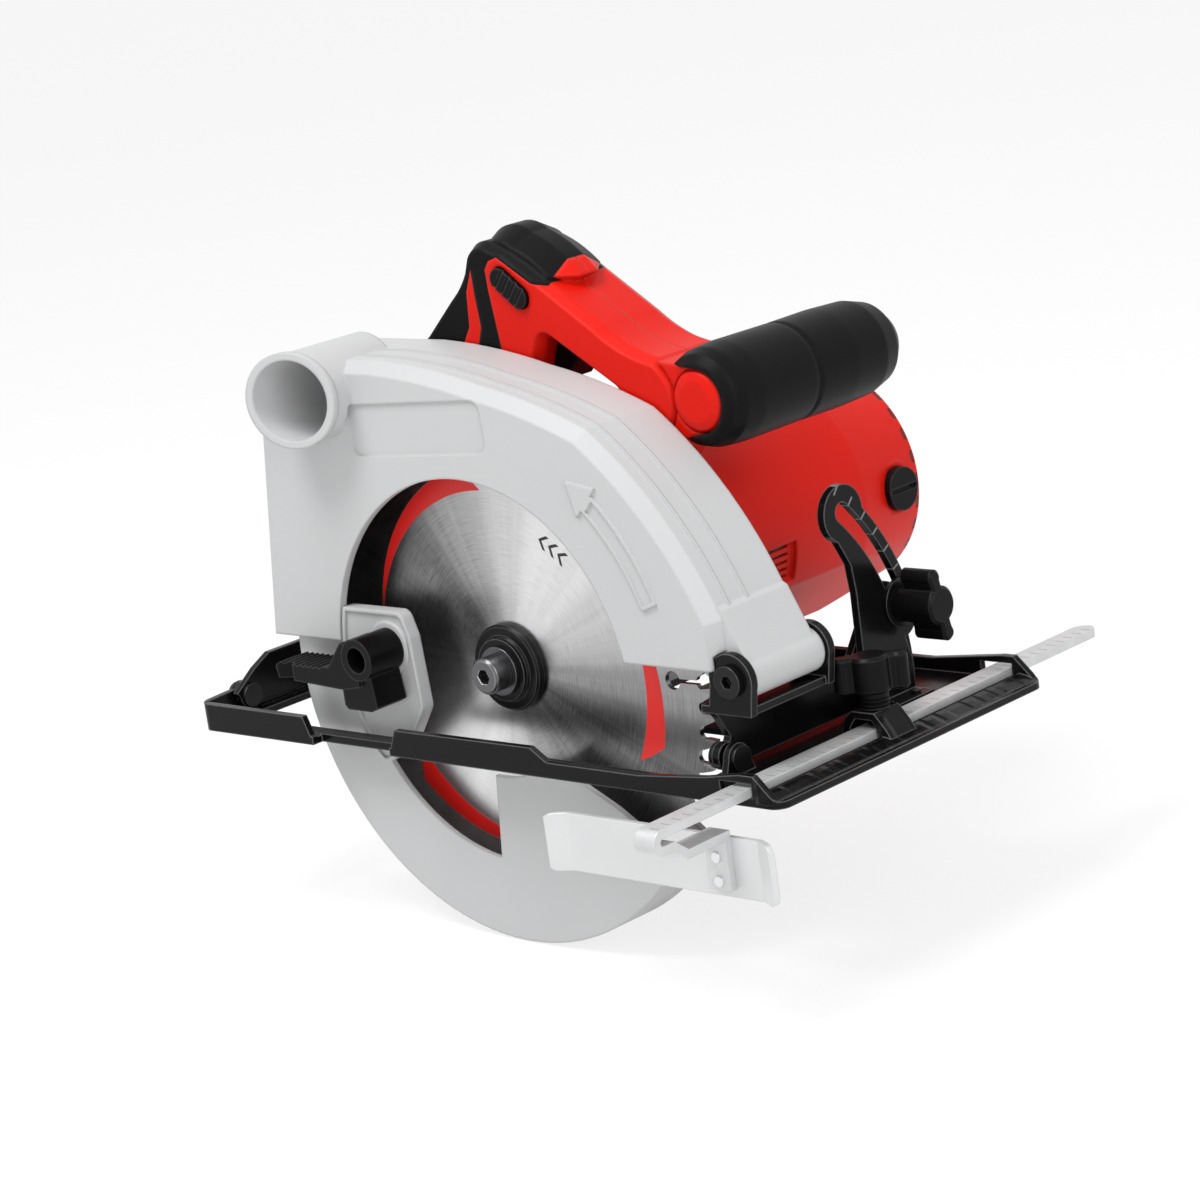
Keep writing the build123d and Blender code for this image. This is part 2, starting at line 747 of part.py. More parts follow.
def guard_ribs():
    """Two fine moulding lines round the drum."""
    outer = offset(guard_outline(), GUARD_RIB_H)
    lines = Part()
    for y in GUARD_RIBS_Y:
        lines += across(outer - guard_outline(), y, y + GUARD_RIB_W)
    return lines


def upper_guard():
    outline = guard_outline()
    drum = across(outline, GUARD_NEAR_Y + GUARD_BEVEL, GUARD_FAR_Y)
    face = extrude(
        Plane(origin=(0, GUARD_NEAR_Y + GUARD_BEVEL, 0), x_dir=(1, 0, 0), z_dir=(0, -1, 0)) * outline,
        amount=GUARD_BEVEL,
        taper=GUARD_BEVEL_ANGLE,
    )
    body = drum + face + guard_ribs()
    body -= guard_foot_cut(-BIG, BIG)
    body += rod(NOSE_FLANGE_R, GUARD_BACK_Y, GUARD_BACK_Y + GUARD_BACK_T, *ARBOR)
    body += pivot_boss()
    body += port_tube()
    cavity = rod(GUARD_CAVITY_R, GUARD_NEAR_Y + GUARD_WALL, GUARD_BACK_Y, *ARBOR)
    window = rod(GUARD_WINDOW_R, GUARD_NEAR_Y - 1, GUARD_NEAR_Y + GUARD_WALL + 1, *ARBOR)
    pocket = across(offset(outline, -GUARD_WALL), GUARD_BACK_Y + GUARD_BACK_T, GUARD_FAR_Y + 1)
    pocket -= rod(PORT_R, GUARD_BACK_Y, GUARD_FAR_Y, PORT_X, PORT_Z)
    pocket -= rod(PIVOT_BOSS_R, GUARD_BACK_Y, GUARD_FAR_Y, *PIVOT)
    body = body - cavity - window - pocket
    body -= rod(PORT_BORE_R, PORT_MOUTH_Y - PORT_R, PORT_FLOOR_Y - 4, PORT_X, PORT_Z)
    duct = polygon(
        [
            (PORT_X - DUCT_R, PORT_Z),
            (PORT_X + DUCT_R, PORT_Z),
            (PORT_X * 0.8 + DUCT_R, ARBOR_Z + (PORT_Z - ARBOR_Z) * 0.78),
            (PORT_X * 0.8 - DUCT_R, ARBOR_Z + (PORT_Z - ARBOR_Z) * 0.82),
        ]
    )
    body -= across(duct, GUARD_NEAR_Y + GUARD_WALL, PORT_FLOOR_Y - 4)
    ear_room = rod(EAR_R + 0.6, NEAR_EAR_Y - EAR_GAP, NEAR_EAR_Y + EAR_T + EAR_GAP, *PIVOT)
    body -= ear_room
    panel = Pos(*PANEL_CENTRE) * Rot(0, 0, PANEL_TILT) * RectangleRounded(PANEL_W, PANEL_H, 4)
    body -= across(panel, GUARD_NEAR_Y - 1, GUARD_NEAR_Y + PANEL_DEPTH)
    body += rotation_arrow()
    nose = rod(NOSE_BOSS_R, NOSE_BOSS_Y, GUARD_BACK_Y + 1, *ARBOR)
    body += nose
    body -= rod(SPINDLE_BEARING_R, SPINDLE_BEARING_Y, GUARD_BACK_Y + GUARD_BACK_T, *ARBOR)
    body -= rod(NOSE_MOUTH_R, NOSE_BOSS_Y - 1, SPINDLE_BEARING_Y + FIT, *ARBOR)
    body -= nose_groove()
    body -= rod(PIVOT_PIN_R + FIT, NEAR_EAR_Y, FAR_EAR_Y, *PIVOT)
    return body + depth_lug()


def depth_bolt_place():
    return polar(GUIDE_ARC_R, DEPTH_BOLT_ANGLE, PIVOT)


def depth_lug():
    """The ear behind the guard that carries the depth clamp."""
    x, z = depth_bolt_place()
    top = GUARD_FOOT_REAR_Z + 8
    ear = Pos(x, z) * Circle(LUG_R)
    neck = polygon([(x - LUG_R, z), (x + LUG_R, z), (x + 1.5 * LUG_R, top), (x - LUG_R, top)])
    y0 = LUG_Y0
    lug = across(ear + neck, y0, GUIDE_ARC_Y - GAP)
    return lug - rod(DEPTH_BOLT_R + FIT, y0 - 1, GUIDE_ARC_Y, x, z)


def nose_groove():
    """Groove round the bearing nose for the snap ring."""
    groove = Circle(NOSE_BOSS_R + 1) - Circle(NOSE_BOSS_R - RING_DEPTH)
    return Pos(0, 0, ARBOR_Z) * across(groove, RING_Y, RING_Y + RING_T)


def guard_ring():
    """The ring on the bearing nose that keeps the lower guard on."""
    ring = sector(NOSE_BOSS_R - RING_DEPTH, NOSE_BOSS_R + 1.5, -80, 260, (0, 0))
    return Pos(0, 0, ARBOR_Z) * across(ring, RING_Y, RING_Y + RING_T)


# ---- Lower guard and its lever ----
def shroud_sector(r0, r1, y0, y1, a0, a1):
    return across(sector(r0, r1, a0, a1, ARBOR), y0, y1)


def lower_guard():
    """Drawn closed: a far wall round the nose boss, a rim, and a near wall with a window."""
    rim_in = SHROUD_R - SHROUD_WALL
    far_y = SHROUD_FAR_Y - SHROUD_WALL
    near_y = SHROUD_NEAR_Y + SHROUD_WALL
    front, rear = SHROUD_FRONT_ANGLE, SHROUD_REAR_ANGLE
    body = shroud_sector(rim_in, SHROUD_R, SHROUD_NEAR_Y, SHROUD_FAR_Y, rear, front)
    body += shroud_sector(SHROUD_HUB_R - 3, SHROUD_R, far_y, SHROUD_FAR_Y, rear, front)
    body += rod(SHROUD_HUB_R, far_y, SHROUD_FAR_Y, *ARBOR)
    body += rod(SHROUD_SLEEVE_R, far_y, GUARD_BACK_Y - 1.5, *ARBOR)
    body += shroud_sector(SHROUD_RING_R, SHROUD_R, SHROUD_NEAR_Y, near_y, rear, front)
    body += shroud_sector(SHROUD_INNER_R, SHROUD_R, SHROUD_NEAR_Y, near_y, WINDOW_TO, front)
    slope = polygon(
        [
            polar(SHROUD_INNER_R - 2, -52, ARBOR),
            polar(SHROUD_RING_R, SHROUD_FRONT_ANGLE - 2.5, ARBOR),
            polar(SHROUD_R + 4, SHROUD_FRONT_ANGLE, ARBOR),
            polar(SHROUD_R, 0, ARBOR),
            (0, ARBOR_Z),
        ]
    )
    body -= across(slope, SHROUD_NEAR_Y - 1, near_y + 0.01)
    body -= rod(NOSE_BOSS_R + FIT, -BIG / 4, BIG / 4, *ARBOR)
    return body + guard_tab() - lever_bolt_hole()


def tab_outline():
    tab = polygon(
        [
            (TAB_OUTER_X + 13, -9),
            (TAB_OUTER_X - 8, 12),
            (TAB_OUTER_X, TAB_TOP_Z),
            (TAB_INNER_X - 3, TAB_TOP_Z),
            (TAB_INNER_X, TAB_TOP_Z - 9),
            (TAB_INNER_X + 1.5, 14),
            (TAB_INNER_X - 7, 2),
        ]
    )
    return fillet(tab.vertices(), 4) & (Pos(*ARBOR) * Circle(TAB_CLEARANCE_R))


def guard_tab():
    """The raised flat that carries the lever, tied into the near wall."""
    plate = across(tab_outline(), TAB_FACE_Y, SHROUD_NEAR_Y + SHROUD_WALL)
    dish = across(offset(tab_outline(), -1.6), TAB_FACE_Y - 1, TAB_FACE_Y + 0.8)
    stem = rod(LEVER_BOSS_R + 2, TAB_FACE_Y, SHROUD_NEAR_Y, LEVER_X, LEVER_Z)
    return plate - dish + stem


def lever_bolt_hole():
    return rod(LEVER_BORE_R - 1.5, TAB_FACE_Y - 1, SHROUD_NEAR_Y + SHROUD_WALL + 1, LEVER_X, LEVER_Z)


def guard_lever():
    """A moulded barrel with a serrated thumb arm and a foot, screwed to the tab."""
    y0, y1 = LEVER_END_Y, TAB_FACE_Y
    barrel = rod(LEVER_BOSS_R, y0, y1, LEVER_X, LEVER_Z)
    top, low = LEVER_ARM_TOP_Z, LEVER_ARM_TOP_Z - LEVER_ARM_T
    arm = [
        (LEVER_X - 1, low + 0.5),
        (LEVER_X - 10, low - 1),
        (LEVER_ARM_END_X + 1, low + 0.6),
        (LEVER_ARM_END_X, top - 2),
    ]
    pitch = (LEVER_X - 19 - LEVER_ARM_END_X) / LEVER_SERRATIONS
    for tooth in range(LEVER_SERRATIONS):
        x = LEVER_ARM_END_X + 0.6 + tooth * pitch
        arm += [(x, top - LEVER_SERRATION), (x + pitch * 0.5, top), (x + pitch * 0.6, top)]
    arm += [(LEVER_X - 16, top), (LEVER_X - 8, LEVER_Z + 5.5), (LEVER_X - 2, LEVER_Z + 4)]
    thumb = across(polygon(arm), y0 + 0.6, GUARD_NEAR_Y - ARROW_H - GAP)
    thumb -= Pos(LEVER_ARM_END_X, y0, 0) * Rot(0, 0, 30) * block(-14, 8, -9, 0, 0, LEVER_Z * 2)
    foot = polygon(
        [
            (LEVER_X + 3, LEVER_Z),
            (LEVER_X + 5, LEVER_FOOT_Z + 1.5),
            (LEVER_X + 2, LEVER_FOOT_Z),
            (LEVER_X - 10, LEVER_FOOT_Z),
            (LEVER_X - 11.5, LEVER_FOOT_Z + 1.5),
            (LEVER_X - 11.5, LEVER_FOOT_Z + LEVER_FOOT_H),
            (LEVER_X - 5, LEVER_FOOT_Z + LEVER_FOOT_H + 1),
            (LEVER_X - 5, LEVER_Z),
        ]
    )
    foot = across(foot, y0 + 2, y1)
    lever = barrel + thumb + foot
    lever -= rod(LEVER_BORE_R, y0 - 1, y1 - 3, LEVER_X, LEVER_Z)
    return lever - rod(SCREW_R + FIT, y0, y1 + 1, LEVER_X, LEVER_Z)


def lever_screw():
    seat = TAB_FACE_Y - 3
    head = rod(SCREW_HEAD_R, seat - SCREW_HEAD_T, seat, LEVER_X, LEVER_Z)
    shank = rod(SCREW_R, seat, SHROUD_NEAR_Y + SHROUD_WALL, LEVER_X, LEVER_Z)
    return head + shank


def guard_spring():
    """Return spring wound round the lower guard's sleeve, one leg against the casting."""
    wire = 0.7
    coil_r = SHROUD_SLEEVE_R + 1.5
    y0 = SHROUD_FAR_Y + 0.4 + wire
    pitch = GUARD_BACK_Y - 0.4 - 2 * wire - y0 - wire
    path = Helix(pitch=pitch, height=pitch, radius=coil_r)
    section = Plane(origin=path @ 0, z_dir=path % 0) * RegularPolygon(wire, 6)
    coil = sweep(section, path=path, is_frenet=True)
    return Pos(0, y0, ARBOR_Z) * Rot(-90, 0, 0) * coil


# ---- Base plate ----
def slot_outline():
    """The blade opening; its front end leans back towards the motor side."""
    front = SLOT_FRONT_X
    return polygon(
        [
            (SLOT_REAR_X, SLOT_NEAR_Y),
            (front, SLOT_NEAR_Y),
            (front - 0.6, -2),
            (front - 4, 9),
            (front - 13, 16.6),
            (front - 20, SLOT_FAR_Y),
            (SLOT_REAR_X, SLOT_FAR_Y),
        ]
    )


def near_rail_outline():
    rear, front = BASE_REAR_X, BASE_FRONT_X
    return polygon(
        [
            (rear, 0),
            (rear, RAIL_H - 3),
            (rear + 3, RAIL_H),
            (NOTCH_X0 - 3, RAIL_H),
            (NOTCH_X0, NOTCH_Z),
            (NOTCH_X1, NOTCH_Z),
            (NOTCH_X1 + 3, RAIL_H - 0.6),
            (31, RAIL_H - 0.2),
            (38, RAIL_LOW_H),
            (80, RAIL_LOW_H),
            (109, RAIL_LOW_H + 2.4),
            (HUMP_TOP_X1 - 6, HUMP_H),
            (HUMP_TOP_X1, HUMP_H),
            (front, 0),
        ]
    )


def far_rail_outline():
    rear, front = BASE_REAR_X, BASE_FRONT_X
    return polygon(
        [
            (rear, 0),
            (rear, FAR_RAIL_H - 2),
            (rear + 2, FAR_RAIL_H),
            (94, FAR_RAIL_H),
            (HUMP_TOP_X1 - 5, HUMP_H),
            (HUMP_TOP_X1, HUMP_H),
            (front, 0),
        ]
    )


def lip_outline():
    """The low rounded ridge in front of the guide bar."""
    x0 = BAR_X + BAR_W / 2 + 1.2
    return polygon(
        [
            (x0, 0),
            (x0 + 0.6, LIP_H - 0.8),
            (x0 + 2, LIP_H),
            (x0 + 4.5, LIP_H - 0.4),
            (BASE_FRONT_X - 2.5, BASE_T + 0.4),
            (BASE_FRONT_X, 0),
        ]
    )


def strap_outline(inset):
    """The saddle over the guide bar, footed behind it and in the lip."""
    rise = HUMP_H + STRAP_RISE - inset
    return polygon(
        [
            (BAR_X - 11 + inset, -1 if inset else 0),
            (BAR_X - 8.5 + inset, HUMP_H - 1 - inset),
            (BAR_X - 5 + inset * 0.5, rise),
            (BAR_X + 4.5 - inset * 0.5, rise),
            (BAR_X + 9 - inset, HUMP_H - 3.5 - inset),
            (BAR_X + 13 - inset, -1 if inset else 0),
        ]
    )


def bar_room():
    """The windows in both rails that the guide bar runs through."""
    x0 = BAR_X - BAR_W / 2 - BAR_CLEARANCE
    x1 = BAR_X + BAR_W / 2 + BAR_CLEARANCE
    low, top = BAR_Z - BAR_CLEARANCE, BAR_Z + BAR_T + BAR_CLEARANCE
    room = block(x0, x1, BASE_NEAR_Y - 1, BASE_FAR_Y + 1, low, top)
    for y in (BASE_NEAR_Y, BASE_FAR_Y - BASE_T):
        room += block(x0 - WINDOW_EXTRA, x1, y - 1, y + BASE_T + 1, low, top + 1)
    return room


def base_plate():
    """One pressing: sheet, turned-up rails, a front lip, the bar's strap and hinge lugs."""
    near, far = BASE_NEAR_Y, BASE_FAR_Y
    outline = Pos((BASE_REAR_X + BASE_FRONT_X) / 2, (near + far) / 2) * RectangleRounded(
        BASE_FRONT_X - BASE_REAR_X, far - near, BASE_CORNER_R
    )
    plate = upward(outline, 0, BASE_T)
    plate += across(lip_outline(), near, far)
    strap_y = (STRAP_Y - STRAP_W / 2, STRAP_Y + STRAP_W / 2)
    plate += across(strap_outline(0), *strap_y)
    plate -= across(strap_outline(BASE_T), *strap_y) & block(-BIG, BIG, *strap_y, BASE_T, BIG)
    plate += across(near_rail_outline(), near, near + BASE_T)
    plate += across(far_rail_outline(), far - BASE_T, far)
    rear_rail = [
        (near, 0),
        (near, RAIL_H),
        (TILT_Y + 2, RAIL_H + 1),
        (TILT_Y + 7, 4),
        (far, 4),
        (far, 0),
    ]
    plate += along(polygon(rear_rail), BASE_REAR_X, BASE_REAR_X + BASE_T)
    plate -= upward(slot_outline(), -1, BASE_T + 1)
    plate -= block(NOTCH_X0 + 1, NOTCH_X1 - 1, near - 1, near + NOTCH_SET, -1, BIG)
    plate += block(NOTCH_X0, NOTCH_X1, near + NOTCH_SET, near + NOTCH_SET + BASE_T, 0, NOTCH_Z)
    plate += hinge_lug(FRONT_LUG_X) + hinge_lug(REAR_LUG_X)
    plate -= bar_room()
    plate -= pin(TILT_PIN_R + FIT, FRONT_LUG_X - 1, FRONT_LUG_X + LUG_T + 1, *TILT)
    plate -= pin(TILT_PIN_R + FIT, REAR_LUG_X - 1, REAR_LUG_X + LUG_T + 1, *TILT)
    for number in range(SOLE_SLITS):
        place = Pos(SOLE_SLIT_X + number * SOLE_SLIT_PITCH, SOLE_SLIT_Y)
        plate -= upward(place * SlotOverall(*SOLE_SLIT, rotation=90), -1, BASE_T + 1)
    plate -= upward(Pos(BAR_X, STRAP_Y) * Circle(WING_SCREW_R + FIT), BAR_Z, BIG / 10)
    return plate & upward(outline, -1, BIG)


def hinge_lug(x):
    y, foot, waist = TILT_Y, 1.6 * TILT_LUG_R, 0.8 * TILT_LUG_R
    low, high = 0.5, TILT_Z + 3
    lug = Pos(*TILT) * Circle(TILT_LUG_R)
    lug += polygon([(y - foot, low), (y + foot, low), (y + waist, high), (y - waist, high)])
    return along(lug, x, x + LUG_T)


def tilt_pins():
    """Two rivets on the bevel axis, one at each end of the base."""
    front0 = BRACKET_X - GAP
    front1 = FRONT_LUG_X + LUG_T
    rear0 = REAR_LUG_X
    rear1 = REAR_BRACKET_X + REAR_BRACKET_T + GAP
    pins = []
    for x0, x1 in ((front0, front1), (rear0, rear1)):
        rivet = pin(TILT_PIN_R, x0, x1, *TILT)
        rivet += pin(TILT_PIN_HEAD_R, x0 - TILT_PIN_HEAD_T, x0, *TILT)
        rivet += pin(TILT_PIN_HEAD_R, x1, x1 + TILT_PIN_HEAD_T, *TILT)
        pins.append(rivet)
    return Compound(pins)


def clamp_centre(angle=CLAMP_ANGLE):
    return polar(QUADRANT_R, angle, TILT)


def bevel_quadrant():
    """Slotted arc about the bevel axis, on a leg that stands on the sole plate."""
    lower = CLAMP_ANGLE - 4
    upper = CLAMP_ANGLE + QUADRANT_SWEEP
    middle = (QUADRANT_INNER_R + QUADRANT_OUTER_R) / 2
    plate = sector(QUADRANT_INNER_R, QUADRANT_OUTER_R, lower, upper, TILT)
    plate += Pos(*polar(middle, lower, TILT)) * Circle((QUADRANT_OUTER_R - QUADRANT_INNER_R) / 2 - 1)
    plate += Pos(*polar(QUADRANT_R, upper, TILT)) * Circle(QUADRANT_HEAD_R)
    y0, y1 = QUADRANT_FOOT_Y
    leg = polygon(
        [
            (y0, BASE_T),
            (y0 + 0.6, 45),
            (y0 - 0.5, 55),
            polar(QUADRANT_R - QUADRANT_HEAD_R + 1, upper - 1, TILT),
            polar(QUADRANT_R, upper, TILT),
            polar(QUADRANT_INNER_R + 5, CLAMP_ANGLE + 2, TILT),
            (y1, HUMP_H + 6),
            (y1, BASE_T),
        ]
    )
    slot = arc_slot(QUADRANT_R, QUADRANT_SLOT_W, CLAMP_ANGLE - 1, upper + 0.5, TILT)
    upright = along(plate + leg - slot, QUADRANT_X, QUADRANT_X + QUADRANT_T)
    return upright + block(QUADRANT_X, QUADRANT_X + QUADRANT_FOOT_L, y0, y1, BASE_T, BASE_T + QUADRANT_T)


def quadrant_rivets():
    y0, y1 = QUADRANT_FOOT_Y
    seat = BASE_T + QUADRANT_T
    x = QUADRANT_X + QUADRANT_FOOT_L - 4
    return Compound([upward(Pos(x, y) * Circle(1.8), seat, seat + 1) for y in (y0 + 5, y1 - 5)])


def clamp_pad(radius, width):
    low = CLAMP_ANGLE - (BEVEL_RANGE - QUADRANT_SWEEP)
    return arc_slot(radius, width, low, CLAMP_ANGLE, TILT)


def front_bracket():
    """Pressed bracket on the bevel axis: ears for the depth pivot, an arm for the clamp."""
    web_top = BRACKET_WEB_Z + BRACKET_WEB_T
    near, far = NEAR_EAR_Y, FAR_EAR_Y + EAR_T
    wall = polygon(
        [
            (TILT_Y + 1, TILT_Z + 3.5),
            (TILT_Y + 2.5, TILT_Z + 6),
            (near + 4.5, BRACKET_WEB_Z - 3),
            (near, web_top),
            (far + 6, web_top),
            (far + 22, 22),
            (62, 23),
            (62, BRACKET_BOTTOM_Z + 1),
            (TILT_Y + 2, BRACKET_BOTTOM_Z + 1),
        ]
    )
    wall += Pos(*TILT) * Circle(TILT_LUG_R - 0.3)
    pad = clamp_pad(QUADRANT_R, QUADRANT_SLOT_W + 6.4)
    wall += pad - Pos(0, BRACKET_BOTTOM_Z - BIG) * Rectangle(BIG, 2 * BIG)
    wall += polygon([(58, 22.5), (70, 38), (84, 30), (80, 10), (60, BRACKET_BOTTOM_Z + 1)])
    wall -= clamp_pad(QUADRANT_R, QUADRANT_SLOT_W)
    wall -= Pos(*TILT) * Circle(TILT_PIN_R + FIT)
    body = along(wall, BRACKET_X, BRACKET_X + BRACKET_T)
    body += block(BRACKET_X, BRACKET_WEB_X, near, far, BRACKET_WEB_Z, web_top)
    for y in (NEAR_EAR_Y, FAR_EAR_Y):
        ear = Pos(*PIVOT) * Circle(EAR_R)
        ear += polygon(
            [
                (BRACKET_X + BRACKET_T, BRACKET_WEB_Z),
                (PIVOT_X - EAR_R + 1, PIVOT_Z + 3),
                (PIVOT_X, PIVOT_Z),
                (PIVOT_X + EAR_R, PIVOT_Z),
                (BRACKET_WEB_X + 1, BRACKET_WEB_Z),
            ]
        )
        ear -= Pos(*PIVOT) * Circle(PIVOT_PIN_R + FIT)
        body += across(ear, y, y + EAR_T)
    return body


def rear_bracket():
    """Plate on the rear rivet that reaches round to carry the depth guide."""
    y1 = GUIDE_ARC_Y + GUIDE_ARC_T + REAR_BRACKET_T
    wall = polygon(
        [
            (TILT_Y - 2, BRACKET_BOTTOM_Z + 0.4),
            (TILT_Y - 6, TILT_Z + 2),
            (TILT_Y + 4, REAR_BRACKET_TOP_Z - 4),
            (TILT_Y + 12, REAR_BRACKET_TOP_Z),
            (y1, REAR_BRACKET_TOP_Z),
            (y1, BRACKET_BOTTOM_Z + 0.4),
        ]
    )
    wall += Pos(*TILT) * Circle(TILT_LUG_R - 0.3)
    wall -= Pos(*TILT) * Circle(TILT_PIN_R + FIT)
    body = along(wall, REAR_BRACKET_X, REAR_BRACKET_X + REAR_BRACKET_T)
    tongue = [
        (REAR_BRACKET_X, BRACKET_BOTTOM_Z + 0.4),
        (REAR_BRACKET_X, REAR_BRACKET_TOP_Z),
        (REAR_BRACKET_X + REAR_BRACKET_T, REAR_BRACKET_TOP_Z),
        (-127, 7.6),
        (-82, 7.6),
        (-82, BRACKET_BOTTOM_Z + 0.4),
    ]
    y0 = y1 - REAR_BRACKET_T
    return body + across(polygon(tongue), y0, y1) - guide_rivets()


def depth_guide():
    """Slotted arc about the depth pivot, riveted to the rear bracket."""
    low, high = DEPTH_BOLT_ANGLE, DEPTH_BOLT_ANGLE - DEPTH_RANGE
    arc = arc_slot(GUIDE_ARC_R, GUIDE_ARC_W, high, low + 1.5, PIVOT)
    arc -= arc_slot(GUIDE_ARC_R, GUIDE_SLOT_W, high - 0.3, low + 0.3, PIVOT)
    arc -= Pos(0, BRACKET_BOTTOM_Z - 50) * Rectangle(BIG, 100)
    return across(arc, GUIDE_ARC_Y, GUIDE_ARC_Y + GUIDE_ARC_T) - guide_rivets()


def guide_rivets():
    rivets = []
    y0 = GUIDE_ARC_Y
    y1 = GUIDE_ARC_Y + GUIDE_ARC_T + REAR_BRACKET_T + 0.8
    for x in (-94.5, -86.0):
        rivets.append(rod(1.3, y0, y1, x, 5.6))
    return Compound(rivets)


def pivot_pin():
    """Headed pin of the depth hinge, with a key socket in its head."""
    y0 = NEAR_EAR_Y - GAP / 3
    y1 = FAR_EAR_Y + EAR_T + GAP / 3
    body = rod(PIVOT_PIN_R, y0, y1, *PIVOT)
    body += rod(PIVOT_HEAD_R, y0 - PIVOT_HEAD_T, y0, *PIVOT)
    body += rod(PIVOT_HEAD_R, y1, y1 + PIVOT_HEAD_T, *PIVOT)
    socket = Pos(*PIVOT) * RegularPolygon(PIVOT_SOCKET_AF / 2, 6, major_radius=False)
    return body - across(socket, y0 - PIVOT_HEAD_T - 1, y0 + 1.2)


# ---- Clamps and knobs ----
def star(radius, lobe, count, waist):
    """Knob outline: round lobes standing off a round waist."""
    shape = Circle(waist)
    for number in range(count):
        angle = 90 + number * 360 / count
        shape += Pos(*polar(radius - lobe, angle)) * Circle(lobe)
        arm = Rot(0, 0, angle) * Pos((radius - lobe) / 2, 0) * Rectangle(radius - lobe, lobe * 1.7)
        shape += arm
    return shape


def depth_clamp_bolt():
    x, z = depth_bolt_place()
    y0 = LUG_Y0 - DEPTH_HEAD_T
    y1 = GUIDE_ARC_Y + GUIDE_ARC_T + 1.2 + DEPTH_LEVER_T
    head = across(Pos(x, z) * RegularPolygon(DEPTH_HEAD_R, 6), y0, LUG_Y0)
    washer_y = GUIDE_ARC_Y + GUIDE_ARC_T
    washer = rod(DEPTH_LEVER_R - 0.6, washer_y, washer_y + 1.0, x, z)
    return head + rod(DEPTH_BOLT_R, y0, y1, x, z) + washer


def depth_clamp_lever():
    """Drawn tight, lying level; its hub is threaded on the bolt."""
    x, z = depth_bolt_place()
    y0 = GUIDE_ARC_Y + GUIDE_ARC_T + 1.2
    hub = rod(DEPTH_LEVER_R, y0, y0 + DEPTH_LEVER_T, x, z)
    tip = x - DEPTH_LEVER_L
    arm = polygon([(x, z + 6), (tip, z + 9), (tip - 2, z + 6), (tip, z + 1.5), (x, z - 4)])
    grip = across(arm, y0 + 1, y0 + DEPTH_LEVER_T + 2)
    return hub + grip - rod(DEPTH_BOLT_R + FIT, y0 - 1, y0 + DEPTH_LEVER_T + 3, x, z)


def bevel_clamp_bolt():
    """Carriage bolt through the bracket's arc and the quadrant's slot, with its washer."""
    y, z = clamp_centre()
    x0 = BRACKET_X - CLAMP_HEAD_T - GAP
    front = QUADRANT_X + QUADRANT_T
    end = front + CLAMP_WASHER_T + KNOB_T - 4
    bolt = pin(CLAMP_WASHER_R - 2.5, x0, x0 + CLAMP_HEAD_T, y, z)
    bolt += pin(CLAMP_BOLT_R, x0, end, y, z)
    return bolt + pin(CLAMP_WASHER_R, front + FIT, front + FIT + CLAMP_WASHER_T, y, z)


def bevel_knob():
    y, z = clamp_centre()
    x0 = QUADRANT_X + QUADRANT_T + CLAMP_WASHER_T + GAP
    x1 = x0 + KNOB_HUB_T
    body = along(Pos(y, z) * Circle(KNOB_HUB_R), x0, x1)
    lobes = Pos(y, z) * Rot(0, 0, KNOB_ANGLE) * star(KNOB_R, KNOB_LOBE_R, 2, KNOB_HUB_R)
    grip = along(lobes, x1, x1 + KNOB_T - KNOB_HUB_T)
    grip = chamfer(grip.edges().group_by(Axis.X)[-1], KNOB_CHAMFER)
    bore = pin(CLAMP_BOLT_R + FIT, x0 - 1, x1 + KNOB_T - KNOB_HUB_T - 3, y, z)
    return body + grip - bore


# ---- Rip guide ----
def rip_guide():
    """A flat bar with its end folded back under to carry the fence plate."""
    x0, x1 = BAR_X - BAR_W / 2, BAR_X + BAR_W / 2
    top = BAR_Z + BAR_T
    low = top - HAIRPIN_DROP
    bend = HAIRPIN_DROP / 2
    centre = (BAR_NEAR_Y + bend, top - bend)
    inner = bend - BAR_T
    fold = Pos(*centre) * (Circle(bend) - Circle(inner))
    fold -= Pos(centre[0] + bend, centre[1]) * Rectangle(bend * 2, bend * 4)
    heel = (BAR_NEAR_Y + 14, low - 4.4)
    leg = polygon(
        [
            (centre[0], low + BAR_T),
            (centre[0], low),
            (centre[0] + 4, low),
            (heel[0], heel[1]),
            (FENCE_Y, heel[1]),
            (FENCE_Y, heel[1] + BAR_T),
            (heel[0] + 1, heel[1] + BAR_T),
            (centre[0] + 5, low + BAR_T),
        ]
    )
    end_y = BAR_FAR_Y - BAR_W / 2
    bar = block(x0, x1, centre[0], end_y, BAR_Z, top)
    bar += upward(Pos(BAR_X, end_y) * Circle(BAR_W / 2), BAR_Z, top)
    bar += along(fold + leg, x0, x1)
    bar += block(x0, x1, FENCE_Y - BAR_T, FENCE_Y, FENCE_Z0 + 3, heel[1] + BAR_T)
    return bar - fence_rivets()


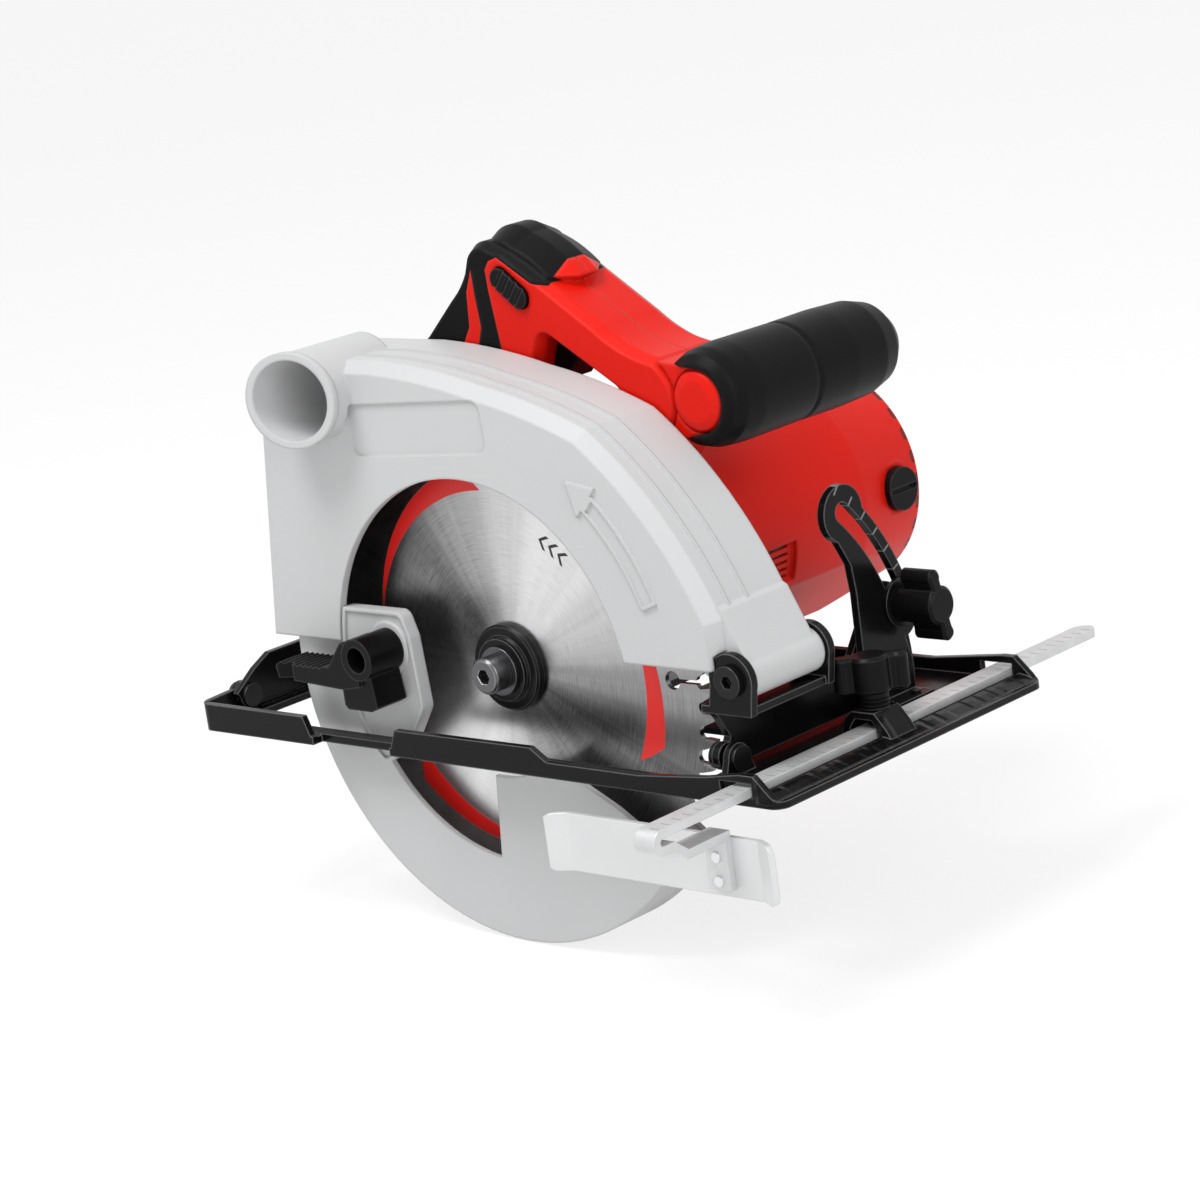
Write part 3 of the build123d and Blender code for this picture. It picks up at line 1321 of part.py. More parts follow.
def fence_plate():
    """The plate that runs along the board, its two ends turned outward."""
    lip = FENCE_LIP
    plan = polygon(
        [
            (FENCE_X0, FENCE_Y + FENCE_T - lip),
            (FENCE_X0 + 8, FENCE_Y + FENCE_T),
            (FENCE_X1 - 8, FENCE_Y + FENCE_T),
            (FENCE_X1, FENCE_Y + FENCE_T - lip),
            (FENCE_X1 - 1.3, FENCE_Y - lip + 0.4),
            (FENCE_X1 - 8.6, FENCE_Y),
            (FENCE_X0 + 8.6, FENCE_Y),
            (FENCE_X0 + 1.3, FENCE_Y - lip + 0.4),
        ]
    )
    side = Pos((FENCE_X0 + FENCE_X1) / 2, (FENCE_Z0 + FENCE_Z1) / 2) * RectangleRounded(
        FENCE_X1 - FENCE_X0, FENCE_Z1 - FENCE_Z0, 4
    )
    plate = upward(plan, FENCE_Z0, FENCE_Z1) & across(side, FENCE_Y - BIG / 10, FENCE_Y + BIG / 10)
    return plate - fence_rivets()


def fence_rivets():
    y0, y1 = FENCE_Y - BAR_T - 0.8, FENCE_Y + FENCE_T + 0.8
    return Compound([rod(1.8, y0, y1, BAR_X, FENCE_Z1 - drop) for drop in (6, 14)])


def wing_screw():
    """Thumb screw through the strap; its tip bears on the bar."""
    place = Pos(BAR_X, STRAP_Y)
    wings = place * Rot(0, 0, WING_ANGLE) * star(WING_R, KNOB_LOBE_R, 2, KNOB_HUB_R)
    knob = upward(wings, WING_Z, WING_Z + WING_T)
    knob = chamfer(knob.edges().filter_by(Plane.XY), KNOB_CHAMFER)
    strap_top = HUMP_H + STRAP_RISE
    stem = upward(place * Circle(WING_STEM_R), strap_top + GAP, WING_Z + 2)
    thread = upward(place * Circle(WING_SCREW_R), BAR_Z + BAR_T + SCREW_TIP_GAP, WING_Z + 2)
    return knob + stem + thread


# ---- Gear housing and motor housing ----
def case_outline(grow):
    """The hull of two circles: one round the spindle gear, one round the motor shaft."""
    small = Pos(*ARBOR) * Circle(CASE_R + grow)
    large = Pos(*MOTOR) * Circle(FRONT_BEARING_R + 9 + grow)
    return make_hull(small.edges() + large.edges())


def gear_housing():
    """Closed cup behind the guard with seats for the bearings."""
    body = across(case_outline(0), CASE_Y0, CASE_Y1)
    body += rod(MOTOR_R - MOTOR_WALL - GAP, CASE_Y1 - 12, CASE_Y1, *MOTOR) - facet_cut(MOTOR_WALL + GAP)
    back = FRONT_BEARING_Y - 3.5
    room = across(case_outline(-CASE_WALL), CASE_Y0 - 1, back)
    body -= room
    body -= rod(FRONT_BEARING_R, FRONT_BEARING_Y, CASE_Y1 + 1, *MOTOR)
    body -= rod(FRONT_BEARING_R - 3, back - 1, CASE_Y1 + 1, *MOTOR)
    body -= rod(NEEDLE_R, back - 1, NEEDLE_Y + NEEDLE_W, *ARBOR)
    body -= rod(SPINDLE_R + 1, back - 1, SPINDLE_END_Y + 0.8, *ARBOR)
    return body


def motor_body(inset):
    """The housing's body of revolution; inset by the wall it is the bore, with no round nose."""
    radius, end_radius = MOTOR_R - inset, MOTOR_END_R - inset
    end = MOTOR_END_Y - inset
    nose = MOTOR_NOSE_FILLET
    front = [
        (0, MOTOR_Y0),
        (radius - nose, MOTOR_Y0),
        (radius - nose * 0.3, MOTOR_Y0 + nose * 0.3),
        (radius, MOTOR_Y0 + nose),
    ]
    if inset:
        front = [(0, MOTOR_Y0 - 1), (radius, MOTOR_Y0 - 1)]
    back = [
        (radius, MOTOR_TAPER_Y),
        (end_radius + 0.5, end - 3),
        (end_radius - 2.5, end),
        (0, end),
    ]
    return turned(front + back, *MOTOR)


def facet_cut(inset):
    distance = FACET_DISTANCE - inset + BIG / 8
    x, z = polar(distance, FACET_ANGLE, MOTOR)
    slab = Pos(x, z) * Rot(0, 0, FACET_ANGLE) * Rectangle(BIG / 4, BIG)
    return across(slab, MOTOR_Y0 - 2, MOTOR_END_Y + 1)


def side_vent():
    """A shallow recess with slits through the wall, on the front side of the housing."""
    y0, y1 = SIDE_VENT_Y
    low, high = SIDE_VENT_ANGLES
    vent = across(sector(MOTOR_R - SIDE_VENT_DEPTH, MOTOR_R + 2, low, high, MOTOR), y0, y1)
    pitch = (high - low) / SIDE_VENT_SLITS
    for number in range(SIDE_VENT_SLITS):
        start = low + (number + 0.3) * pitch
        slit = sector(MOTOR_R - MOTOR_WALL - 1, MOTOR_R, start, start + pitch * 0.4, MOTOR)
        vent += across(slit, y0 + 3, y1 - 3)
    return vent


def brush_bore(radius, outer, inner):
    """A pair of cylinders on the brush axis, from one radius out to another, on both sides."""
    pair = Part()
    for side in (0, 180):
        low, high = sorted((polar(outer, side, MOTOR)[0], polar(inner, side, MOTOR)[0]))
        pair += pin(radius, low, high, COMMUTATOR_Y, MOTOR_Z)
    return pair


def motor_housing():
    """Moulded barrel: a flat along its lower front, vents at its end and brush tubes inside."""
    shell = motor_body(0) - facet_cut(0)
    shell -= motor_body(MOTOR_WALL) - facet_cut(MOTOR_WALL)
    shell += brush_bore(BRUSH_TUBE_R, MOTOR_R - 2.5, COMMUTATOR_R + 8)
    shell += rod(REAR_BEARING_R + 3, REAR_BEARING_Y, MOTOR_END_Y - MOTOR_WALL + 0.5, *MOTOR)
    shell -= rod(REAR_BEARING_R, REAR_BEARING_Y - 1, MOTOR_END_Y - MOTOR_WALL, *MOTOR)
    shell -= brush_bore(BRUSH_CAP_R, MOTOR_R + 5, COMMUTATOR_R + 2)
    shell -= side_vent()
    length = MOTOR_END_R - VENT_R0 - 1
    slot = Pos(VENT_R0 + length / 2, 0) * SlotOverall(length, VENT_W)
    for number in range(VENT_COUNT):
        cut = Pos(*MOTOR) * Rot(0, 0, number * 360 / VENT_COUNT) * slot
        shell -= across(cut, MOTOR_END_Y - VENT_DEPTH, MOTOR_END_Y + 1)
    return shell - across(case_outline(0), MOTOR_Y0 - 2, CASE_Y1)


def armature_shaft():
    profile = [
        (0, GEAR_Y0 - 2),
        (SHAFT_R - 1.2, GEAR_Y0 - 2),
        (SHAFT_R - 1.2, FRONT_BEARING_Y - 2),
        (SHAFT_R, FRONT_BEARING_Y - 2),
        (SHAFT_R, REAR_BEARING_Y + REAR_BEARING_W - 0.3),
        (0, REAR_BEARING_Y + REAR_BEARING_W - 0.3),
    ]
    return turned(profile, *MOTOR)


def cooling_fan():
    disc = rod(FAN_R, FAN_Y, FAN_Y + FAN_DISC_T, *MOTOR)
    hub = rod(SHAFT_R + 5, FAN_Y, FAN_Y + FAN_T, *MOTOR)
    fan = disc + hub
    for number in range(FAN_BLADES):
        angle = number * 360 / FAN_BLADES
        blade = Rot(0, 0, angle) * Pos(FAN_R * 0.62, 0) * Rot(0, 0, 24) * Rectangle(FAN_R * 0.6, 1.6)
        fan += across(Pos(*MOTOR) * blade, FAN_Y, FAN_Y + FAN_T)
    fan &= rod(FAN_R, FAN_Y - 1, FAN_Y + FAN_T + 1, *MOTOR)
    return fan - rod(SHAFT_R, FAN_Y - 1, FAN_Y + FAN_T + 1, *MOTOR)


def armature_core():
    disc = Circle(CORE_R) - Circle(SHAFT_R)
    for number in range(CORE_SLOTS):
        slot = Pos(CORE_R - CORE_SLOT_DEPTH / 2, 0) * Rectangle(CORE_SLOT_DEPTH, CORE_SLOT_W)
        disc -= Rot(0, 0, number * 360 / CORE_SLOTS) * slot
    return across(Pos(*MOTOR) * disc, CORE_Y0, CORE_Y1)


def armature_windings():
    """Copper in the slots and the two end turns."""
    r0 = SHAFT_R
    ends = []
    for y0, y1 in ((CORE_Y0 - WINDING_T, CORE_Y0), (CORE_Y1, CORE_Y1 + WINDING_T)):
        outline = [
            (r0, y0),
            (CORE_R - 4, y0),
            (CORE_R - 1, y0 + 2),
            (CORE_R - 1, y1 - 1),
            (CORE_R - 2, y1),
            (r0, y1),
        ]
        ends.append(turned(outline, *MOTOR))
    coil = ends[0] + ends[1]
    for number in range(CORE_SLOTS):
        middle = CORE_R - CORE_SLOT_DEPTH / 2 - 0.6
        bar = Pos(middle, 0) * Rectangle(CORE_SLOT_DEPTH - 1.2, CORE_SLOT_W)
        coil += across(Pos(*MOTOR) * Rot(0, 0, number * 360 / CORE_SLOTS) * bar, CORE_Y0 - 1, CORE_Y1 + 1)
    return coil


def commutator():
    disc = Circle(COMMUTATOR_R) - Circle(SHAFT_R)
    for number in range(CORE_SLOTS * 2):
        slit = Pos(COMMUTATOR_R - 0.5, 0) * Rectangle(1.4, 0.5)
        disc -= Rot(0, 0, (number + 0.5) * 180 / CORE_SLOTS) * slit
    y0 = COMMUTATOR_Y - COMMUTATOR_W / 2
    return across(Pos(*MOTOR) * disc, y0, y0 + COMMUTATOR_W)


def front_bearing():
    return ball_bearing(SHAFT_R + RACE_FIT, FRONT_BEARING_R, FRONT_BEARING_Y, FRONT_BEARING_W, MOTOR)


def rear_bearing():
    return ball_bearing(SHAFT_R + RACE_FIT, REAR_BEARING_R, REAR_BEARING_Y, REAR_BEARING_W - 0.2, MOTOR)


def stator_core():
    """Laminated ring with two pole pieces that face the armature."""
    inner = CORE_R + AIR_GAP
    ring = Circle(STATOR_R) - Circle(inner)
    for side in (90, 270):
        pocket = sector(inner + 5, STATOR_R - 5, side - 38, side + 38, (0, 0))
        ring -= pocket
        ring -= Rot(0, 0, side) * Pos(inner + 2, 0) * Rectangle(10, 20)
    core = across(Pos(*MOTOR) * ring, CORE_Y0, CORE_Y1)
    return core - facet_cut(MOTOR_WALL + GAP)


def field_windings():
    """Two copper coils through the stator's pockets, with end turns past each face."""
    inner = CORE_R + AIR_GAP
    coils = []
    for side in (90, 270):
        for start in (-36, 16):
            leg = sector(inner + 5.6, STATOR_R - 5.6, side + start, side + start + 20, MOTOR)
            coils.append(across(leg, CORE_Y0 - 1, CORE_Y1 + 1))
        arc = sector(inner + 5.6, STATOR_R - 5.6, side - 36, side + 36, MOTOR)
        coils.append(across(arc, CORE_Y0 - 9, CORE_Y0 - 1))
        coils.append(across(arc, CORE_Y1 + 1, CORE_Y1 + 9))
    coil = coils[0]
    for piece in coils[1:]:
        coil += piece
    return coil


def brush_holder(side):
    """Brass tube for one brush, in the housing's boss."""
    x_out = polar(MOTOR_R - 6, side, MOTOR)[0]
    x_in = polar(COMMUTATOR_R + 2.5, side, MOTOR)[0]
    low, high = sorted((x_out, x_in))
    tube = pin(BRUSH_CAP_R, low, high, COMMUTATOR_Y, MOTOR_Z)
    half = BRUSH_W / 2 + FIT
    room = block(low - 1, high + 1, -half, half, -half, half)
    return tube - Pos(0, COMMUTATOR_Y, MOTOR_Z) * room


def brush_holders():
    return Compound([brush_holder(0), brush_holder(180)])


def carbon_brush(side):
    x_in = polar(COMMUTATOR_R + 0.25, side, MOTOR)[0]
    x_out = polar(COMMUTATOR_R + BRUSH_L, side, MOTOR)[0]
    low, high = sorted((x_in, x_out))
    half = BRUSH_W / 2
    return block(low, high, COMMUTATOR_Y - half, COMMUTATOR_Y + half, MOTOR_Z - half, MOTOR_Z + half)


def carbon_brushes():
    return Compound([carbon_brush(0), carbon_brush(180)])


def brush_caps():
    """Slotted screw caps that close the brush tubes."""
    caps = []
    for side, turn in ((0, 1), (180, -1)):
        seat = polar(MOTOR_R - 6, side, MOTOR)[0]
        face = polar(MOTOR_R - 6 + BRUSH_CAP_T, side, MOTOR)[0]
        low, high = sorted((seat, face))
        cap = pin(BRUSH_CAP_R - FIT, low, high, COMMUTATOR_Y, MOTOR_Z)
        s0, s1 = sorted((face, face - turn * CAP_SLOT_DEPTH))
        half_l, half_w = BRUSH_CAP_R - 1, CAP_SLOT_W / 2
        slot = block(s0, s1, -half_l, half_l, -half_w, half_w)
        cap -= Pos(0, COMMUTATOR_Y, MOTOR_Z) * slot
        caps.append(cap)
    return Compound(caps)


# ---- Handle ----
def handle_outline():
    """Side view of the D-shaped handle down into the saddle on the motor."""
    root = MOTOR_R - 10
    edges = [
        Line((-46, 136.7), (-30, 151.3)),
        ThreePointArc((-30, 151.3), (-24, 157), (-21.5, 160.5)),
        Line((-21.5, 160.5), (-19.5, 165.5)),
        ThreePointArc((-19.5, 165.5), (-14.5, 169.8), (-7.6, 169.2)),
        ThreePointArc((-7.6, 169.2), (1.4, 165.3), (10, 160.4)),
        Line((10, 160.4), (38, 142)),
        ThreePointArc((38, 142), (48, 135.7), (62, 131)),
        ThreePointArc((62, 131), (70, 120), (66, 106)),
        Line((66, 106), (52, 93)),
        Line((52, 93), polar(root, 38, MOTOR)),
        ThreePointArc(polar(root, 38, MOTOR), polar(root, 90, MOTOR), polar(root, 140, MOTOR)),
        Line(polar(root, 140, MOTOR), (-31, 77.4)),
        Line((-31, 77.4), (-62, 84)),
        ThreePointArc((-62, 84), (-73, 89), (-78, 100)),
        Line((-78, 100), (-73, 113)),
        ThreePointArc((-73, 113), (-62, 124.5), (-46, 136.7)),
    ]
    return make_face(edges)


def finger_room():
    room = polygon(
        [
            (12.5, 139),
            (44, 120),
            (47, 110),
            (40, 104),
            (-20, 104),
            (-30, 110),
            (-22, 117),
            (6, 123.5),
        ]
    )
    return fillet(room.vertices(), 3)


def crown_outline():
    """The domed top of the grip, which stands above the sloped arm."""
    edges = [
        Line((-21, 156), (-19.2, 166)),
        ThreePointArc((-19.2, 166), (-10, 173.8), (2, 171.4)),
        ThreePointArc((2, 171.4), (14, 164.8), (23, 156.5)),
        Line((23, 156.5), (10, 150)),
        Line((10, 150), (-21, 156)),
    ]
    return make_face(edges)


def sloped_slab(face, flat, half, slope):
    """A slab about the handle's middle plane, both of its sides drawn in by the slope."""
    solid = across(face, HANDLE_Y - flat, HANDLE_Y + flat)
    side = Plane(origin=(0, HANDLE_Y - flat, 0), x_dir=(1, 0, 0), z_dir=(0, -1, 0))
    near = extrude(side * face, amount=half - flat, taper=slope)
    return solid + near + mirror(near, Plane.XZ.offset(-HANDLE_Y))


def handle_solid(inset):
    """Both halves as one: sides sloped outside and round the finger opening."""
    ring = handle_outline() - finger_room()
    crown = crown_outline()
    if inset:
        ring = offset(handle_outline(), -inset) - offset(finger_room(), inset)
        crown = offset(crown, -inset)
    body = sloped_slab(ring, HANDLE_HALF - HANDLE_CHAMFER, HANDLE_HALF - inset, HANDLE_SLOPE)
    return body + sloped_slab(crown, CROWN_FLAT, CROWN_HALF - inset, CROWN_SLOPE)


def neck_outline():
    """The arm that carries the front grip."""
    reach = polygon(
        [
            (55, 131),
            (AUX_X, AUX_Z + AUX_CORE_R),
            (AUX_X + 4, AUX_Z - AUX_CORE_R + 1),
            (66, 103),
            (50, 96),
            (44, 118),
        ]
    )
    return reach + Pos(AUX_X, AUX_Z) * Circle(AUX_CORE_R)


def neck():
    y0, y1 = NECK_Y
    arm = across(neck_outline(), y0, y1)
    return arm - rod(AUX_CORE_R, y0 - 1, y1 + 1, AUX_X, AUX_Z) - across(handle_outline(), y0 - 1, y1 + 1)


def handle_core():
    """The hollow inside the handle, stepped to follow the sloped sides, with screw posts left."""
    wide_step = HANDLE_HALF - HANDLE_CHAMFER - 1
    half = HANDLE_HALF - HANDLE_WALL
    core = Part()
    for inset, depth in ((HANDLE_WALL, wide_step), (HANDLE_CHAMFER + 0.6, half)):
        ring = offset(handle_outline(), -inset) - offset(finger_room(), inset)
        core += across(ring, HANDLE_Y - depth, HANDLE_Y + depth)
    for x, z in (*HANDLE_SCREWS, TRIGGER_PIVOT):
        core -= rod(HANDLE_POST_R, 0, BIG / 4, x, z)
    return core - rod(MOTOR_R + HANDLE_WALL, 0, BIG / 4, *MOTOR)


def trigger_outline(grow=0.0):
    shape = polygon(
        [
            (-9, 137),
            (0, 146),
            (14, 142.5),
            (22, 136),
            (17.5, 127.5),
            (11, 120.8),
            (1, 120.4),
            (-3, 128),
        ]
    )
    return offset(shape, grow) if grow else shape


def pressed(shape, travel=1.0):
    """Where a trigger shape lies when it is squeezed home, or for a share of its travel."""
    x, z = TRIGGER_PIVOT
    return Pos(x, 0, z) * Rot(0, -TRIGGER_RANGE * travel, 0) * Pos(-x, 0, -z) * shape


def trigger_room():
    half = TRIGGER_HALF + TRIGGER_CLEARANCE
    room = across(trigger_outline(TRIGGER_CLEARANCE), HANDLE_Y - half, HANDLE_Y + half)
    eye = rod(TRIGGER_EYE_R + 0.8, HANDLE_Y - half, HANDLE_Y + half, *TRIGGER_PIVOT)
    return room + pressed(room, 0.15) + pressed(room) + eye


def trigger():
    """Sprung switch lever, hinged at its rear inside the handle."""
    body = across(trigger_outline(), HANDLE_Y - TRIGGER_HALF, HANDLE_Y + TRIGGER_HALF)
    body += rod(TRIGGER_EYE_R, HANDLE_Y - TRIGGER_HALF, HANDLE_Y + TRIGGER_HALF, *TRIGGER_PIVOT)
    return body - rod(TRIGGER_PIN_R + FIT, 0, BIG / 4, *TRIGGER_PIVOT)


def trigger_pin():
    reach = TRIGGER_HALF + 3.5
    return rod(TRIGGER_PIN_R, HANDLE_Y - reach, HANDLE_Y + reach, *TRIGGER_PIVOT)


def trigger_spring():
    """Coil between the trigger's back and the switch."""
    wire = 0.5
    x, z0 = TRIGGER_SPRING_SEAT
    z1 = SWITCH_Z[0]
    path = Helix(pitch=1.3, height=z1 - z0 - 2 * wire, radius=TRIGGER_SPRING_R)
    section = Plane(origin=path @ 0, z_dir=path % 0) * RegularPolygon(wire, 6)
    return Pos(x, HANDLE_Y, z0 + wire) * sweep(section, path=path, is_frenet=True)


def power_switch():
    """The switch body with its plunger guide, above the trigger."""
    body = block(*SWITCH_X, HANDLE_Y - SWITCH_HALF, HANDLE_Y + SWITCH_HALF, *SWITCH_Z)
    body -= block(SWITCH_X[0] - 1, SWITCH_X[0] + 3, HANDLE_Y - 3, HANDLE_Y + 3, SWITCH_Z[0] + 3, BIG)
    return body


def lock_outline(grow):
    slot = SlotOverall(LOCK_L + 2 * grow, LOCK_W + 2 * grow)
    return Pos(*LOCK_CENTRE) * Rot(0, 0, LOCK_ANGLE) * slot


def lock_button():
    """Safety catch on the near side: pushed in before the trigger will move."""
    face = HANDLE_Y - HANDLE_HALF
    inner = face + HANDLE_WALL + LOCK_CLEARANCE
    button = across(lock_outline(0), face - LOCK_PROUD, inner)
    button += across(lock_outline(LOCK_FLANGE), inner, inner + LOCK_FLANGE)
    top = face - LOCK_PROUD
    for step in range(LOCK_GROOVES):
        shift = (step - (LOCK_GROOVES - 1) / 2) * LOCK_GROOVE_PITCH
        place = Pos(*LOCK_CENTRE) * Rot(0, 0, LOCK_ANGLE) * Pos(shift, 0)
        button -= across(place * Rectangle(LOCK_GROOVE_W, LOCK_W), top - 1, top + LOCK_GROOVE_DEPTH)
    return button


def lock_room():
    face = HANDLE_Y - HANDLE_HALF
    slot = across(lock_outline(LOCK_CLEARANCE), face - 2, face + HANDLE_WALL + 1)
    pocket = across(lock_outline(LOCK_FLANGE + LOCK_CLEARANCE), face + HANDLE_WALL, face + HANDLE_WALL + 7)
    return slot + pocket


def rubber_zone():
    """Side view of the soft cover over the crest and down the rear leg."""
    return polygon(
        [
            (19, BIG / 2),
            (17, 155),
            (11, 156.4),
            (-3.5, 165.2),
            (-7.5, 164),
            (-9.8, 161),
            (-9.5, 154),
            (-6, 124),
            (-26, 112),
            (-36, 104),
            (-32, 92),
            (-32, 70),
            (-90, 70),
            (-90, BIG / 2),
        ]
    )


def stripe_zone():
    """The hard stripe that shows through the cover on the rear leg."""
    return polygon(
        [
            (-16.8, 161),
            (-20.4, 153),
            (-21.4, 141),
            (-26, 134),
            (-44, 112),
            (-48, 98),
            (-40, 98),
            (-36, 112),
            (-18, 134.5),
            (-15.6, 141),
            (-16.6, 152),
        ]
    )


def guide_room():
    """The back of the rear leg stays clear of the depth guide as the saw is raised."""
    track = sector(GUIDE_ARC_R - GUIDE_ARC_W, GUIDE_ARC_R + GUIDE_ARC_W, 120, 200, PIVOT)
    return across(track, 0, GUIDE_ARC_Y + GUIDE_ARC_T + 0.8)


def grip_cover():
    skin = handle_solid(0) - handle_solid(RUBBER_T)
    cover = skin & across(rubber_zone() - stripe_zone(), 0, BIG / 4)
    cover -= rod(MOTOR_R, 0, BIG / 4, *MOTOR)
    return cover - cord_gland_body() - guide_room()


def handle_half(near_side):
    """One red shell; the near one carries the catch, the far one the screw heads."""
    y0, y1 = (0, HANDLE_Y - SPLIT_GAP / 2) if near_side else (HANDLE_Y + SPLIT_GAP / 2, BIG / 4)
    shell = handle_solid(0) - handle_core() - trigger_room() + neck()
    cover = handle_solid(0) - handle_solid(RUBBER_T)
    shell -= cover & across(rubber_zone() - stripe_zone(), 0, BIG / 4)
    shell &= block(-BIG, BIG, y0, y1, 0, BIG)
    shell -= rod(MOTOR_R, 0, BIG / 4, *MOTOR)
    shell -= rod(TRIGGER_PIN_R + FIT, HANDLE_Y - 10, HANDLE_Y + 10, *TRIGGER_PIVOT)
    shell -= rod(AUX_CORE_R, 0, BIG / 4, AUX_X, AUX_Z)
    if near_side:
        shell -= lock_room()
    head_y = HANDLE_Y + HANDLE_HALF - 4
    for x, z in HANDLE_SCREWS:
        shell -= rod(SCREW_R + FIT, HANDLE_Y - 9, head_y, x, z)
        shell -= rod(SCREW_HEAD_R + 0.3, head_y, BIG / 4, x, z)
    return shell - cord_gland_body() - guide_room()


def near_handle_half():
    return handle_half(True)


def far_handle_half():
    return handle_half(False)


def handle_screws():
    head_y = HANDLE_Y + HANDLE_HALF - 4
    screws = []
    for x, z in HANDLE_SCREWS:
        screw = rod(SCREW_R, HANDLE_Y - 8, head_y, x, z)
        head = rod(SCREW_HEAD_R, head_y, head_y + SCREW_HEAD_T, x, z)
        cross = block(x - 2.2, x + 2.2, head_y + 1.2, head_y + 5, z - 0.45, z + 0.45)
        cross += block(x - 0.45, x + 0.45, head_y + 1.2, head_y + 5, z - 2.2, z + 2.2)
        screws.append(screw + head - cross)
    return Compound(screws)


def gland_place():
    """At the foot of the rear leg, pointing back and down."""
    return Pos(GLAND_X, HANDLE_Y, GLAND_Z) * Rot(0, GLAND_ANGLE, 0)


def cord_gland_body():
    """The stub before its bore, as the two handle halves close on it."""
    collar = Pos(0, 0, GLAND_L * 0.9) * Cylinder(GLAND_R + GLAND_COLLAR, GLAND_COLLAR_T)
    return gland_place() * (Cylinder(GLAND_R, GLAND_L * 3) + collar)


def cord_gland():
    return cord_gland_body() - gland_place() * Cylinder(GLAND_BORE_R, GLAND_L * 4)


# ---- Front grip ----
def aux_core():
    """The hard bar inside the front grip; its near end shows."""
    y0 = AUX_NEAR_Y - 0.6
    r = AUX_CORE_R
    outline = [
        (0, y0),
        (r - 4, y0),
        (r - 1.4, y0 + 1),
        (r, y0 + 3),
        (r, AUX_CORE_END_Y),
        (0, AUX_CORE_END_Y),
    ]
    return turned(outline, AUX_X, AUX_Z)


def aux_grip():
    """Soft sleeve over the bar, with a waist at its seam."""
    r = AUX_R
    outline = [
        (0, AUX_NEAR_Y),
        (r - 5, AUX_NEAR_Y),
        (r - 2, AUX_NEAR_Y + 2.5),
        (r - 0.6, AUX_NEAR_Y + 7),
        (r, AUX_NEAR_Y + 15),
        (r - 0.2, AUX_SEAM_Y - AUX_SEAM * 3),
        (r - 0.9, AUX_SEAM_Y),
        (r - 0.2, AUX_SEAM_Y + AUX_SEAM * 3),
        (r, AUX_SEAM_Y + 20),
        (r - 0.6, AUX_FAR_Y - 16),
        (r - 2.6, AUX_FAR_Y - 8),
        (r - 7, AUX_FAR_Y - 2),
        (r - 12, AUX_FAR_Y),
        (0, AUX_FAR_Y),
    ]
    sleeve = turned(outline, AUX_X, AUX_Z) - rod(AUX_CORE_R, 0, AUX_CORE_END_Y, AUX_X, AUX_Z)
    sleeve -= across(neck_outline(), AUX_NEAR_Y - 1, NECK_Y[1])
    return sleeve - across(handle_outline(), HANDLE_Y - HANDLE_HALF, HANDLE_Y + HANDLE_HALF)


NODES = {
    "base_plate": base_plate,
    "bevel_quadrant": bevel_quadrant,
    "quadrant_rivets": quadrant_rivets,
    "tilt_pins": tilt_pins,
    "front_bracket": front_bracket,
    "rear_bracket": rear_bracket,
    "depth_guide": depth_guide,
    "guide_rivets": guide_rivets,
    "pivot_pin": pivot_pin,
    "depth_clamp_bolt": depth_clamp_bolt,
    "depth_clamp_lever": depth_clamp_lever,
    "bevel_clamp_bolt": bevel_clamp_bolt,
    "bevel_knob": bevel_knob,
    "rip_guide": rip_guide,
    "fence_plate": fence_plate,
    "fence_rivets": fence_rivets,
    "wing_screw": wing_screw,
    "upper_guard": upper_guard,
    "guard_ring": guard_ring,
    "guard_spring": guard_spring,
    "lower_guard": lower_guard,
    "guard_lever": guard_lever,
    "lever_screw": lever_screw,
    "saw_blade": saw_blade,
    "carbide_tips": carbide_tips,
    "inner_flange": inner_flange,
    "outer_flange": outer_flange,
    "blade_washer": blade_washer,
    "blade_bolt": blade_bolt,
    "spindle": spindle,
    "spindle_gear": spindle_gear,
    "spindle_bearing": spindle_bearing,
    "needle_bearing": needle_bearing,
    "gear_housing": gear_housing,
    "motor_pinion": motor_pinion,
    "armature_shaft": armature_shaft,
    "front_bearing": front_bearing,
    "rear_bearing": rear_bearing,
    "cooling_fan": cooling_fan,
    "armature_core": armature_core,
    "armature_windings": armature_windings,
    "commutator": commutator,
    "stator_core": stator_core,
    "field_windings": field_windings,
    "brush_holders": brush_holders,
    "carbon_brushes": carbon_brushes,
    "brush_caps": brush_caps,
    "motor_housing": motor_housing,
    "near_handle_half": near_handle_half,
    "far_handle_half": far_handle_half,
    "handle_screws": handle_screws,
    "grip_cover": grip_cover,
    "cord_gland": cord_gland,
    "trigger": trigger,
    "trigger_pin": trigger_pin,
    "trigger_spring": trigger_spring,
    "power_switch": power_switch,
    "lock_button": lock_button,
    "aux_core": aux_core,
    "aux_grip": aux_grip,
}

os.makedirs("parts", exist_ok=True)
for name, make in NODES.items():
    export_step(make(), f"parts/{name}.step")
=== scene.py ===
import json
import math

import bpy
from mathutils import Matrix, Vector


